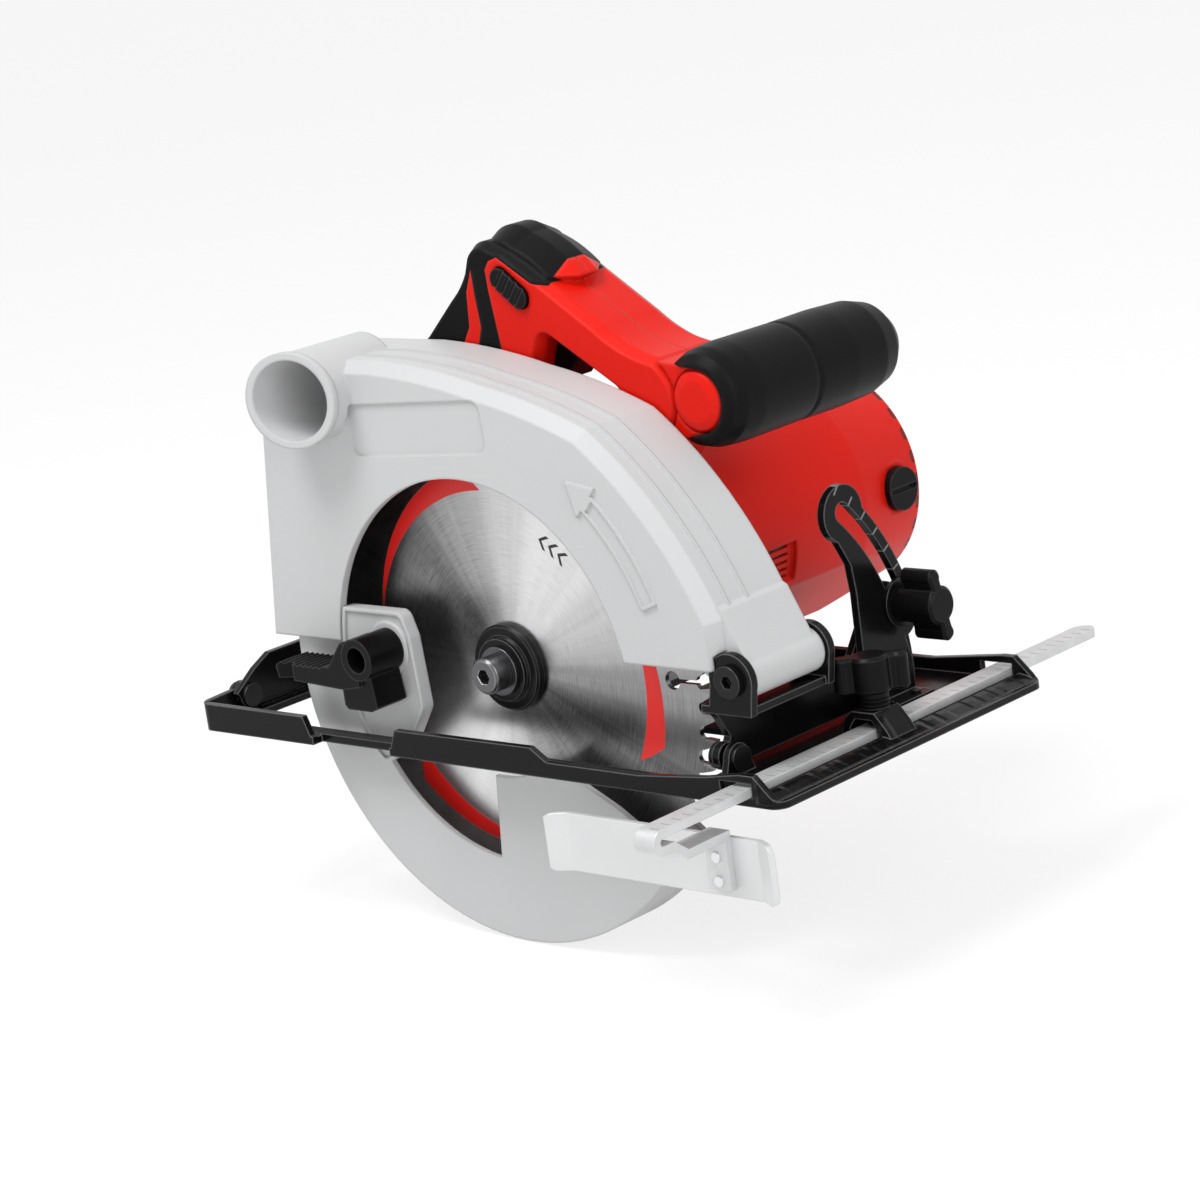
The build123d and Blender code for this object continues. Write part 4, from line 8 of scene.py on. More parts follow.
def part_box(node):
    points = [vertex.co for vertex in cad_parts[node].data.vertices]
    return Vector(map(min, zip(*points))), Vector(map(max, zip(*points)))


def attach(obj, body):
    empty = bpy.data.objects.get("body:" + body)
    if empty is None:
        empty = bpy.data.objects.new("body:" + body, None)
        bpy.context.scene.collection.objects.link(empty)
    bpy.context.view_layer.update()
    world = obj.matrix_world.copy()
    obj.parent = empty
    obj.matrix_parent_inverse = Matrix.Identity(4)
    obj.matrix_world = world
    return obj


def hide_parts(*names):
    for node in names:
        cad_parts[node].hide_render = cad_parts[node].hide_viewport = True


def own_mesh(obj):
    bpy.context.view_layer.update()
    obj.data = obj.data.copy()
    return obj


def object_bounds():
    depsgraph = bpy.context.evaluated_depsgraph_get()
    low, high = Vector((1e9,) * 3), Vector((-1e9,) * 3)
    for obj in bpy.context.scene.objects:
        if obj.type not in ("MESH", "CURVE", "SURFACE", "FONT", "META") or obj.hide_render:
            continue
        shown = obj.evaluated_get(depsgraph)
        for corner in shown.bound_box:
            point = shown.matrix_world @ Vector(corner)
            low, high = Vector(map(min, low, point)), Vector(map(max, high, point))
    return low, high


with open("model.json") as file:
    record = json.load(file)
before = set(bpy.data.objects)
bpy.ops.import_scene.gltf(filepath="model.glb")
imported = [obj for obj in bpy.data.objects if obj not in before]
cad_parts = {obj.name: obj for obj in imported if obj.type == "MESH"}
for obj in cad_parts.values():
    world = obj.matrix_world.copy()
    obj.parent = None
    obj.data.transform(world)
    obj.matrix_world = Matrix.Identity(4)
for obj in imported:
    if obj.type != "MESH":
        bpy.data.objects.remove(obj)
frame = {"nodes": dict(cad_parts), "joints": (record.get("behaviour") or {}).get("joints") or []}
cad_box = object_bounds()
node = frame["nodes"]
MM = 0.001


# ---- Base plate, bevel quadrant and brackets ----
# The base is one pressing of sheet steel with turned-up rails and a rounded front lip; the quadrant
# and the brackets are pressed from thicker strip. All are sprayed with glossy black paint, which
# wears thin along the pressed edges; those edges are painted pale, as wear and as a painted
# highlight.
def new_group(name, inputs, outputs):
    """An empty node group with named inputs and outputs."""
    group = bpy.data.node_groups.new(name, "ShaderNodeTree")
    for label, kind, start in inputs:
        socket = group.interface.new_socket(label, in_out="INPUT", socket_type=kind)
        if start is not None:
            socket.default_value = start
    for label, kind in outputs:
        group.interface.new_socket(label, in_out="OUTPUT", socket_type=kind)
    return group, group.nodes.new("NodeGroupInput"), group.nodes.new("NodeGroupOutput")


def link(tree, source, out_name, target, in_name):
    tree.links.new(source.outputs[out_name], target.inputs[in_name])


def maths(tree, operation, *operands, clamp=False):
    """A Math node; each operand is a number or an output socket."""
    unit = tree.nodes.new("ShaderNodeMath")
    unit.operation = operation
    unit.use_clamp = clamp
    for slot, value in enumerate(operands):
        if isinstance(value, (int, float)):
            unit.inputs[slot].default_value = value
        else:
            tree.links.new(value, unit.inputs[slot])
    return unit.outputs[0]


def both(tree, first, second):
    """The product of two shares, which is 1 only where both are."""
    return maths(tree, "MULTIPLY", first, second)


def between(tree, value, low, high, soft):
    """1 where a value lies between two limits, falling to 0 over a soft edge."""
    rise = maths(tree, "DIVIDE", maths(tree, "SUBTRACT", value, low), soft, clamp=True)
    fall = maths(tree, "DIVIDE", maths(tree, "SUBTRACT", high, value), soft, clamp=True)
    return both(tree, rise, fall)


def blended(tree, share, first, second):
    """A colour that goes from the first to the second as the share goes from 0 to 1."""
    mix = tree.nodes.new("ShaderNodeMix")
    mix.data_type = "RGBA"
    for label, value in (("Factor", share), ("A", first), ("B", second)):
        socket = next(s for s in mix.inputs if s.name == label and s.enabled)
        if isinstance(value, tuple):
            socket.default_value = (*value, 1)
        else:
            tree.links.new(value, socket)
    return next(s for s in mix.outputs if s.enabled)


def build_skin_group():
    """A fine grain for the surface's height, and a slow mottle for its colour and gloss."""
    group, inside, outside = new_group(
        "skin",
        [("Fine scale", "NodeSocketFloat", 900.0), ("Slow scale", "NodeSocketFloat", 18.0)],
        [("Height", "NodeSocketFloat"), ("Mottle", "NodeSocketFloat")],
    )
    place = group.nodes.new("ShaderNodeTexCoord")
    fine = group.nodes.new("ShaderNodeTexNoise")
    fine.inputs["Detail"].default_value = 3.0
    slow = group.nodes.new("ShaderNodeTexNoise")
    slow.inputs["Detail"].default_value = 4.0
    for noise, label in ((fine, "Fine scale"), (slow, "Slow scale")):
        link(group, place, "Object", noise, "Vector")
        link(group, inside, label, noise, "Scale")
    link(group, fine, "Fac", outside, "Height")
    link(group, slow, "Fac", outside, "Mottle")
    return group


EDGE_GAIN = 4.0


def build_edge_group():
    """The normal of a slightly rounded edge, and how far each place lies on such an edge."""
    group, inside, outside = new_group(
        "edge",
        [("Radius", "NodeSocketFloat", 0.0006)],
        [("Normal", "NodeSocketVector"), ("Share", "NodeSocketFloat")],
    )
    rounded = group.nodes.new("ShaderNodeBevel")
    rounded.samples = 6
    link(group, inside, "Radius", rounded, "Radius")
    surface = group.nodes.new("ShaderNodeNewGeometry")
    cosine = group.nodes.new("ShaderNodeVectorMath")
    cosine.operation = "DOT_PRODUCT"
    link(group, rounded, "Normal", cosine, "Vector")
    group.links.new(surface.outputs["True Normal"], cosine.inputs[1])
    off = maths(group, "SUBTRACT", 1.0, cosine.outputs["Value"])
    share = maths(group, "MULTIPLY", off, EDGE_GAIN, clamp=True)
    link(group, rounded, "Normal", outside, "Normal")
    group.links.new(share, outside.inputs["Share"])
    return group


skin_group = build_skin_group()
edge_group = build_edge_group()
GLOSS_SPREAD = 0.16


def coated(name, colour, roughness, metallic=0.0, fine=900.0, slow=18.0, bump=0.05, depth=0.05,
           shade=0.12, coat=0.0, specular=0.3, edge=0.6, worn_and_highlit=(0.1, 0.1, 0.1), wear_and_highlight=0.25):
    """A finish whose colour, gloss and height vary a little, with soft edges tinted as wear and as
    a painted highlight.
    """
    material = bpy.data.materials.new(name)
    material.use_nodes = True
    tree = material.node_tree
    shader = tree.nodes["Principled BSDF"]
    shader.inputs["Metallic"].default_value = metallic
    shader.inputs["Coat Weight"].default_value = coat
    shader.inputs["Coat Roughness"].default_value = 0.15
    shader.inputs["Specular IOR Level"].default_value = specular
    skin = tree.nodes.new("ShaderNodeGroup")
    skin.node_tree = skin_group
    skin.inputs["Fine scale"].default_value = fine
    skin.inputs["Slow scale"].default_value = slow
    rim = tree.nodes.new("ShaderNodeGroup")
    rim.node_tree = edge_group
    rim.inputs["Radius"].default_value = edge * MM
    dark = tuple(c * (1 - shade) for c in colour)
    light = tuple(min(1, c * (1 + shade)) for c in colour)
    body = blended(tree, skin.outputs["Mottle"], dark, light)
    # The edges' tint stands for wear and, where it is lighter than the body, for a painted
    # highlight.
    rubbed_and_highlit = both(tree, rim.outputs["Share"], wear_and_highlight)
    tree.links.new(blended(tree, rubbed_and_highlit, body, worn_and_highlit), shader.inputs["Base Color"])
    dullest = roughness - GLOSS_SPREAD / 2
    gloss = maths(tree, "MULTIPLY_ADD", skin.outputs["Mottle"], GLOSS_SPREAD, dullest)
    tree.links.new(gloss, shader.inputs["Roughness"])
    relief = tree.nodes.new("ShaderNodeBump")
    relief.inputs["Strength"].default_value = bump
    relief.inputs["Distance"].default_value = depth * MM
    link(tree, skin, "Height", relief, "Height")
    link(tree, rim, "Normal", relief, "Normal")
    link(tree, relief, "Normal", shader, "Normal")
    return material


def dress(names, material):
    """Gives carried-over CAD nodes their finish."""
    for name in names:
        slots = node[name].data.materials
        slots.clear()
        slots.append(material)


def millimetres(tree):
    """The object's own X, Y and Z in millimetres."""
    place = tree.nodes.new("ShaderNodeTexCoord")
    scale = tree.nodes.new("ShaderNodeVectorMath")
    scale.operation = "SCALE"
    scale.inputs["Scale"].default_value = 1000.0
    link(tree, place, "Object", scale, "Vector")
    split = tree.nodes.new("ShaderNodeSeparateXYZ")
    tree.links.new(scale.outputs["Vector"], split.inputs["Vector"])
    return split.outputs


def raised(material, height, depth):
    """Adds a pattern's height, in millimetres, on top of the finish's own grain."""
    tree = material.node_tree
    shader = tree.nodes["Principled BSDF"]
    first = shader.inputs["Normal"].links[0].from_socket
    relief = tree.nodes.new("ShaderNodeBump")
    relief.inputs["Strength"].default_value = 1.0
    relief.inputs["Distance"].default_value = depth * MM
    tree.links.new(height, relief.inputs["Height"])
    tree.links.new(first, relief.inputs["Normal"])
    tree.links.new(relief.outputs["Normal"], shader.inputs["Normal"])


def printed(material, share, colour):
    """Lays a colour over the finish where the share is 1."""
    tree = material.node_tree
    shader = tree.nodes["Principled BSDF"]
    first = shader.inputs["Base Color"].links[0].from_socket
    tree.links.new(blended(tree, share, first, colour), shader.inputs["Base Color"])


def every(tree, value, pitch, width, soft):
    """Lines of one width that come round at each pitch."""
    phase = maths(tree, "PINGPONG", value, pitch / 2)
    return maths(tree, "DIVIDE", maths(tree, "SUBTRACT", width / 2 + soft, phase), soft, clamp=True)


def round_centre(tree, across, upward):
    """The distance from a centre, and the angle round it in radians, of two offsets from it."""
    squares = maths(tree, "ADD", both(tree, across, across), both(tree, upward, upward))
    return maths(tree, "SQRT", squares), maths(tree, "ARCTAN2", upward, across)


def joint_place(name):
    """Where a joint's axis lies, in millimetres."""
    joint = next(j for j in frame["joints"] if j["name"] == name)
    return [along * 1000 for along in joint["pos_m"]]


DEEP_BLACK = (0.0045, 0.0045, 0.005)
TICK_GREY = (0.35, 0.35, 0.35)


# Pale edges on the black paint: wear, and a painted highlight.
def black_paint(name):
    return coated(name, DEEP_BLACK, 0.24, fine=420, bump=0.3, coat=0.06, specular=0.10, edge=0.8,
                  worn_and_highlit=(0.34, 0.34, 0.34), wear_and_highlight=0.55)


plain_paint = black_paint("black_paint")
dress(["front_bracket", "rear_bracket", "depth_guide"], plain_paint)

# Embossed marks in groups of three across the top of the base's front lip.
MARK_PITCH, MARK_WIDTH, MARK_SOFT, MARK_HEIGHT = 7.0, 3.0, 1.6, 0.6
GROUP_PITCH, GROUP_WIDTH, GROUP_SOFT = 28.0, 20.0, 2.0
LIP_BACK, LIP_FRONT, LIP_SOFT = 10.5, 1.0, 1.5
LIP_LOW, LIP_HIGH = 1.0, 20.0
scale_paint = black_paint("base_paint")
tree = scale_paint.node_tree
x, y, z = millimetres(tree)
front_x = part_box("base_plate")[1][0] * 1000
lip = between(tree, x, front_x - LIP_BACK, front_x - LIP_FRONT, LIP_SOFT)
groups = maths(tree, "GREATER_THAN", every(tree, y, GROUP_PITCH, GROUP_WIDTH, GROUP_SOFT), 0.5)
marks = both(tree, every(tree, y, MARK_PITCH, MARK_WIDTH, MARK_SOFT), groups)
above_plate = between(tree, z, LIP_LOW, LIP_HIGH, 0.5)
raised(scale_paint, both(tree, both(tree, lip, marks), above_plate), MARK_HEIGHT)
dress(["base_plate"], scale_paint)

# A raised tick for each five degrees of bevel, from the quadrant's slot to its rim, tinted pale
# grey as a painted highlight on its raised line.
SLOT_R, TICK_FROM_R, TICK_TO_R = 91.0, 93.6, 98.0
TICK_PITCH, TICK_WIDTH, TICK_SOFT, TICK_HEIGHT = 7.94, 0.5, 0.25, 0.5
arc_paint = black_paint("quadrant_paint")
tree = arc_paint.node_tree
_, y, z = millimetres(tree)
_, hinge_y, hinge_z = joint_place("bevel_tilt")
out = maths(tree, "SUBTRACT", y, hinge_y)
rise = maths(tree, "SUBTRACT", z, hinge_z)
reach, bevel = round_centre(tree, out, rise)
along_slot = maths(tree, "MULTIPLY", bevel, SLOT_R)
lines = every(tree, along_slot, TICK_PITCH, TICK_WIDTH, TICK_SOFT)
ticks = both(tree, lines, between(tree, reach, TICK_FROM_R, TICK_TO_R, 0.3))
raised(arc_paint, ticks, TICK_HEIGHT)
# Painted highlight: the raised ticks are tinted pale grey.
printed(arc_paint, both(tree, ticks, 0.6), TICK_GREY)
dress(["bevel_quadrant"], arc_paint)

# ---- Hinge pins, rivets, screws and clamp bolts ----
# Small steel parts, turned, headed or stamped. All are blackened, but for the rivets of the depth
# guide and the fence and the depth clamp's bolt, which are bright zinc.
blackened = coated("blackened_steel", (0.018, 0.018, 0.019), 0.30, metallic=0.7, fine=1300,
                   bump=0.15, edge=0.5, worn_and_highlit=(0.3, 0.3, 0.3), wear_and_highlight=0.35)
dress(["pivot_pin", "tilt_pins", "quadrant_rivets", "bevel_clamp_bolt", "guard_ring", "lever_screw",
       "handle_screws", "trigger_pin"], blackened)
zinc = coated("zinc", (0.78, 0.79, 0.80), 0.34, metallic=0.75, fine=1200, bump=0.12, shade=0.06,
              edge=0.5, worn_and_highlit=(0.9, 0.9, 0.9))
dress(["fence_rivets", "guide_rivets", "depth_clamp_bolt"], zinc)

# ---- Rip guide ----
# Flat steel bar folded back on itself at its end, and a pressed fence plate riveted to it, both
# bright zinc with a satin sheen. The bar has a scale of cuts across its top.
# Edges near white: wear on the zinc, and a painted highlight.
WORN_AND_HIGHLIT_EDGE = (0.95, 0.95, 0.95)
satin = coated("satin_zinc", (0.66, 0.665, 0.67), 0.40, metallic=0.30, fine=1500, bump=0.18,
               slow=60, shade=0.05, specular=0.5, edge=0.6, worn_and_highlit=WORN_AND_HIGHLIT_EDGE, wear_and_highlight=0.4)
dress(["fence_plate"], satin)
scaled = coated("scaled_zinc", (0.62, 0.625, 0.63), 0.40, metallic=0.35, fine=900, bump=0.25,
                slow=150, shade=0.14, specular=0.5, edge=0.6, worn_and_highlit=WORN_AND_HIGHLIT_EDGE, wear_and_highlight=0.4)
CUT_PITCH, CUT_WIDTH, CUT_SOFT, CUT_DEPTH = 5.0, 0.4, 0.2, 0.4
CUT_FROM_EDGE, CUT_TO_EDGE = 4.6, 0.6
tree = scaled.node_tree
x, y, z = millimetres(tree)
bar_front, bar_top = (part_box("rip_guide")[1][i] * 1000 for i in (0, 2))
on_top = between(tree, z, bar_top - 0.3, bar_top + 1, 0.2)
in_strip = between(tree, x, bar_front - CUT_FROM_EDGE, bar_front - CUT_TO_EDGE, 0.2)
cuts = both(tree, on_top, both(tree, in_strip, every(tree, y, CUT_PITCH, CUT_WIDTH, CUT_SOFT)))
raised(scaled, maths(tree, "SUBTRACT", 0.0, cuts), CUT_DEPTH)
printed(scaled, both(tree, cuts, 0.45), TICK_GREY)
dress(["rip_guide"], scaled)

# ---- Blade guards ----
# The fixed upper guard is an aluminium casting and the swinging lower guard is made to match. Both
# have a satin light-grey powder coat. The gear housing is cast too, and left bare.
grey_coat = coated("grey_coat", (0.52, 0.525, 0.53), 0.50, fine=1300, bump=0.22, shade=0.03,
                   specular=0.35, edge=1.2, worn_and_highlit=(0.72, 0.72, 0.72), wear_and_highlight=0.35)
dress(["upper_guard", "lower_guard"], grey_coat)
cast = coated("cast_aluminium", (0.42, 0.425, 0.43), 0.5, metallic=0.5, fine=700, bump=0.35,
              shade=0.1, edge=0.6, worn_and_highlit=(0.7, 0.7, 0.7))
dress(["gear_housing"], cast)

# ---- Saw blade ----
# A laser-cut steel disc, ground in circles, with red arcs and black arrowheads printed on it and
# carbide tips brazed to its teeth. The light and dark that fan out over it from the bore are a
# painted sheen.
# The two ends of the painted sheen: steel in painted shade and steel in painted highlight.
STEEL_IN_PAINTED_SHADE, STEEL_IN_PAINTED_HIGHLIGHT = (0.045, 0.045, 0.048), (0.93, 0.93, 0.94)
PAINTED_FAN_TURN, PAINTED_FAN_LOBES, PAINTED_FAN_SWING, PAINTED_FAN_MIDDLE = 55.0, 2, 0.34, 0.44
GROOVES_PER_MM, GROOVES_PER_DEGREE = 3.0, 0.09
NEAR_FACE_Y = -0.5
blade_steel = bpy.data.materials.new("ground_steel")
blade_steel.use_nodes = True
tree = blade_steel.node_tree
shader = tree.nodes["Principled BSDF"]
x, y, z = millimetres(tree)
up_by = maths(tree, "SUBTRACT", z, joint_place("spindle_spin")[2])
radius, turned = round_centre(tree, x, up_by)
angle = maths(tree, "MULTIPLY", turned, 180 / math.pi)
from_fan = maths(tree, "SUBTRACT", angle, PAINTED_FAN_TURN)
painted_fan_wave = maths(tree, "COSINE", both(tree, from_fan, PAINTED_FAN_LOBES * math.pi / 180))
ray = tree.nodes.new("ShaderNodeCombineXYZ")
tree.links.new(maths(tree, "DIVIDE", x, radius), ray.inputs["X"])
tree.links.new(maths(tree, "DIVIDE", up_by, radius), ray.inputs["Y"])
painted_fan_streaks = tree.nodes.new("ShaderNodeTexNoise")
painted_fan_streaks.inputs["Scale"].default_value = 3.2
painted_fan_streaks.inputs["Detail"].default_value = 5.0
painted_fan_streaks.inputs["Roughness"].default_value = 0.62
link(tree, ray, "Vector", painted_fan_streaks, "Vector")
rings = tree.nodes.new("ShaderNodeTexNoise")
rings.noise_dimensions = "2D"
rings.inputs["Scale"].default_value = 1.0
rings.inputs["Detail"].default_value = 4.0
grooves = tree.nodes.new("ShaderNodeCombineXYZ")
tree.links.new(both(tree, radius, GROOVES_PER_MM), grooves.inputs["X"])
tree.links.new(both(tree, angle, GROOVES_PER_DEGREE), grooves.inputs["Y"])
link(tree, grooves, "Vector", rings, "Vector")
# Painted sheen: two light and two dark fans round the bore, broken into streaks, with the grinding
# rings' fine lines laid over them.
painted_sheen = maths(tree, "MULTIPLY_ADD", painted_fan_wave, PAINTED_FAN_SWING, PAINTED_FAN_MIDDLE)
for noise, strength in ((painted_fan_streaks, 0.5), (rings, 0.28)):
    ripple = maths(tree, "MULTIPLY_ADD", noise.outputs["Fac"], strength, -strength / 2)
    painted_sheen = maths(tree, "ADD", painted_sheen, ripple, clamp=noise is rings)
steel_with_painted_sheen = blended(tree, painted_sheen, STEEL_IN_PAINTED_SHADE, STEEL_IN_PAINTED_HIGHLIGHT)
near_side = maths(tree, "LESS_THAN", y, NEAR_FACE_Y)

# Three printed arcs, each widest at its start and running out to a point.
ARC_START, ARC_SWEEP, ARC_PITCH = 93.0, 78.0, 120.0
ARC_R, ARC_SWELL, ARC_INNER_R, ARC_HOLLOW = 62.3, 9.6, 62.8, 1.0
ARC_SLANT, PRINT_SOFT = 0.012, 0.3
RED_PRINT = (0.78, 0.012, 0.008)
since_start = maths(tree, "FLOORED_MODULO", maths(tree, "SUBTRACT", angle, ARC_START), ARC_PITCH)
arc_turn = maths(tree, "DIVIDE", since_start, ARC_SWEEP)
beyond = maths(tree, "SUBTRACT", radius, ARC_R)
slant = maths(tree, "MULTIPLY_ADD", beyond, -ARC_SLANT, arc_turn)
taper = maths(tree, "SUBTRACT", 1.0, arc_turn, clamp=True)
outer = maths(tree, "MULTIPLY_ADD", maths(tree, "POWER", taper, 0.8), ARC_SWELL, ARC_R)
inner = maths(tree, "MULTIPLY_ADD", maths(tree, "POWER", taper, 1.4), -ARC_HOLLOW, ARC_INNER_R)
outside = maths(tree, "DIVIDE", maths(tree, "SUBTRACT", radius, inner), PRINT_SOFT, clamp=True)
within = maths(tree, "DIVIDE", maths(tree, "SUBTRACT", outer, radius), PRINT_SOFT, clamp=True)
begun = maths(tree, "GREATER_THAN", slant, 0.0)
unfinished = maths(tree, "LESS_THAN", arc_turn, 1.0)
arcs = both(tree, both(tree, outside, within), both(tree, begun, unfinished))
arcs = both(tree, arcs, near_side)
painted = blended(tree, arcs, steel_with_painted_sheen, RED_PRINT)

# A short row of printed arrowheads that shows which way the blade turns.
HEADS_R, HEADS_START, HEADS_LENGTH, HEADS_HALF = 51.2, 65.0, 13.6, 2.7
HEAD_PITCH, HEAD_FROM, HEAD_TO = 4.6, 0.2, 1.9
HEADS_PER_DEGREE = 51.0 * math.pi / 180
BLACK_PRINT = (0.01, 0.01, 0.01)
along_by = maths(tree, "MULTIPLY", maths(tree, "SUBTRACT", HEADS_START, angle), HEADS_PER_DEGREE)
off_by = maths(tree, "ABSOLUTE", maths(tree, "SUBTRACT", radius, HEADS_R))
nose = maths(tree, "SUBTRACT", along_by, off_by)
chevrons = maths(tree, "FLOORED_MODULO", nose, HEAD_PITCH)
chevrons = between(tree, chevrons, HEAD_FROM, HEAD_TO, 0.2)
in_row = both(tree, between(tree, nose, 0.0, HEADS_LENGTH, 0.1),
              maths(tree, "LESS_THAN", off_by, HEADS_HALF))
heads = both(tree, both(tree, chevrons, in_row), near_side)
tree.links.new(blended(tree, heads, painted, BLACK_PRINT), shader.inputs["Base Color"])
inked = maths(tree, "MAXIMUM", arcs, heads)
tree.links.new(maths(tree, "SUBTRACT", 1.0, inked), shader.inputs["Metallic"])
tree.links.new(maths(tree, "MULTIPLY_ADD", inked, 0.12, 0.30), shader.inputs["Roughness"])
shader.inputs["Anisotropic"].default_value = 0.6
around = tree.nodes.new("ShaderNodeTangent")
around.direction_type = "RADIAL"
around.axis = "Y"
link(tree, around, "Tangent", shader, "Tangent")
relief = tree.nodes.new("ShaderNodeBump")
relief.inputs["Strength"].default_value = 0.12
relief.inputs["Distance"].default_value = 0.03 * MM
link(tree, rings, "Fac", relief, "Height")
link(tree, relief, "Normal", shader, "Normal")
dress(["saw_blade"], blade_steel)
carbide = coated("carbide", (0.30, 0.30, 0.31), 0.35, metallic=0.9, fine=2500, bump=0.2, edge=0.3)
dress(["carbide_tips"], carbide)

# ---- Flanges, bolt and spindle ----
# Turned and blackened steel; the bolt's rim and socket are rubbed bright by the key. Their edges,
# and those of the flanges and washer, are painted paler, partly as that wear and partly as a
# painted highlight.
flange_black = coated("flange_black", (0.006, 0.006, 0.0065), 0.30, fine=1100, bump=0.15,
                      specular=0.14, edge=0.6, worn_and_highlit=(0.35, 0.35, 0.35), wear_and_highlight=0.5)
dress(["outer_flange", "inner_flange", "spindle"], flange_black)
bolt_steel = coated("bolt_steel", (0.13, 0.13, 0.135), 0.28, metallic=0.9, fine=1100, bump=0.15,
                    edge=0.7, worn_and_highlit=(0.8, 0.8, 0.8), wear_and_highlight=0.9)
dress(["blade_bolt"], bolt_steel)
washer_steel = coated("washer_steel", (0.10, 0.10, 0.105), 0.3, metallic=0.9, edge=0.5,
                      worn_and_highlit=(0.6, 0.6, 0.6))
dress(["blade_washer"], washer_steel)

# ---- Gears, bearings, shafts and springs ----
# Cut steel gears in the cast housing, sealed bearings, the motor's ground shaft, and the lower
# guard's return spring of wound wire.
steel = coated("gear_steel", (0.5, 0.5, 0.51), 0.3, metallic=1.0, fine=900, bump=0.1, edge=0.3)
dress(["spindle_gear", "motor_pinion", "spindle_bearing", "needle_bearing", "front_bearing",
       "rear_bearing", "armature_shaft", "guard_spring", "trigger_spring"], steel)

# ---- Trigger spring ----
# A few turns of spring steel wire between the trigger's back and the switch. The trigger shortens
# it as it is squeezed; here it is a piece of its own on the saw's body, with its own copy of the
# mesh.
coil = bpy.data.objects.new("trigger_coil", node["trigger_spring"].data.copy())
bpy.context.scene.collection.objects.link(coil)
coil.data.materials.clear()
coil.data.materials.append(steel)
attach(coil, "saw")
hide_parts("trigger_spring")
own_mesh(coil)

# ---- Motor ----
# Cores of stacked steel sheet, enamelled copper windings, a copper commutator, and graphite brushes
# in brass tubes.
SHEET_PITCH, SHEET_WIDTH, SHEET_SOFT, SHEET_STEP = 1.0, 0.5, 0.2, 0.15
laminations = coated("laminations", (0.30, 0.30, 0.31), 0.45, metallic=0.8, fine=400, bump=0.4,
                     edge=0.2)
tree = laminations.node_tree
sheets = every(tree, millimetres(tree)["Y"], SHEET_PITCH, SHEET_WIDTH, SHEET_SOFT)
raised(laminations, sheets, SHEET_STEP)
dress(["armature_core", "stator_core"], laminations)
enamel = coated("enamelled_copper", (0.55, 0.20, 0.07), 0.3, metallic=0.7, fine=700, bump=0.5,
                edge=0.4)
dress(["armature_windings", "field_windings"], enamel)
copper = coated("copper", (0.72, 0.34, 0.18), 0.3, metallic=1.0, edge=0.2)
dress(["commutator"], copper)
brass = coated("brass", (0.65, 0.48, 0.18), 0.3, metallic=1.0, edge=0.4)
dress(["brush_holders"], brass)
graphite = coated("graphite", (0.02, 0.02, 0.022), 0.6, edge=0.2)
dress(["carbon_brushes"], graphite)

# ---- Motor housing and handle shells ----
# Moulded in glass-filled nylon, dyed signal red, with a fine spark texture and soft corners.
SIGNAL_RED = (0.67, 0.009, 0.003)


def red_nylon(name):
    return coated(name, SIGNAL_RED, 0.42, fine=2400, bump=0.18, depth=0.04, shade=0.04,
                  specular=0.14, edge=1.8, worn_and_highlit=(0.85, 0.05, 0.03), wear_and_highlight=0.5)


shell_red = red_nylon("red_nylon")
dress(["near_handle_half", "far_handle_half", "aux_core"], shell_red)

# Shallow scallops round the rear rim of the motor housing, with painted shade darkening their
# hollows.
SCALLOP_R, SCALLOP_PITCH, SCALLOP_WIDTH, SCALLOP_SOFT = 45.0, 9.42, 3.6, 0.8
SCALLOP_LENGTH, SCALLOP_DEPTH, END_FACE_R = 5.5, 1.2, 40.5
PAINTED_HOLLOW_SHADE = (0.10, 0.002, 0.002)
housing_red = red_nylon("housing_red")
tree = housing_red.node_tree
x, y, z = millimetres(tree)
shaft_low, shaft_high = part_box("armature_shaft")
motor_x, motor_z = (500 * (shaft_low[i] + shaft_high[i]) for i in (0, 2))
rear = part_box("motor_housing")[1][1] * 1000
side = maths(tree, "SUBTRACT", x, motor_x)
rise = maths(tree, "SUBTRACT", z, motor_z)
reach, turned = round_centre(tree, side, rise)
round_rim = maths(tree, "MULTIPLY", turned, SCALLOP_R)
scallops = every(tree, round_rim, SCALLOP_PITCH, SCALLOP_WIDTH, SCALLOP_SOFT)
rim = both(tree, between(tree, y, rear - SCALLOP_LENGTH, rear + 1.0, 0.8),
           maths(tree, "GREATER_THAN", reach, END_FACE_R))
scallops = both(tree, scallops, rim)
raised(housing_red, maths(tree, "SUBTRACT", 0.0, scallops), SCALLOP_DEPTH)
# Painted shade in the scallops' hollows.
printed(housing_red, both(tree, scallops, 0.75), PAINTED_HOLLOW_SHADE)
dress(["motor_housing"], housing_red)

# ---- Grips, knobs and small mouldings ----
# Soft black rubber covers the handle's crest and the front grip, and holds the cord. The knobs, the
# levers, the trigger, the caps, the switch and the fan are moulded in hard black nylon.
black_rubber = coated("black_rubber", DEEP_BLACK, 0.44, fine=1500, bump=0.45, depth=0.08,
                      specular=0.08, edge=2.2, worn_and_highlit=(0.03, 0.03, 0.03), wear_and_highlight=0.4)
dress(["aux_grip", "grip_cover", "cord_gland"], black_rubber)


def hard_nylon(name):
    return coated(name, DEEP_BLACK, 0.32, fine=1900, bump=0.3, specular=0.10, edge=1.0,
                  worn_and_highlit=(0.09, 0.09, 0.09), wear_and_highlight=0.5)


black_nylon = hard_nylon("black_nylon")
dress(["depth_clamp_lever", "bevel_knob", "guard_lever", "brush_caps", "trigger",
       "power_switch", "lock_button", "cooling_fan"], black_nylon)

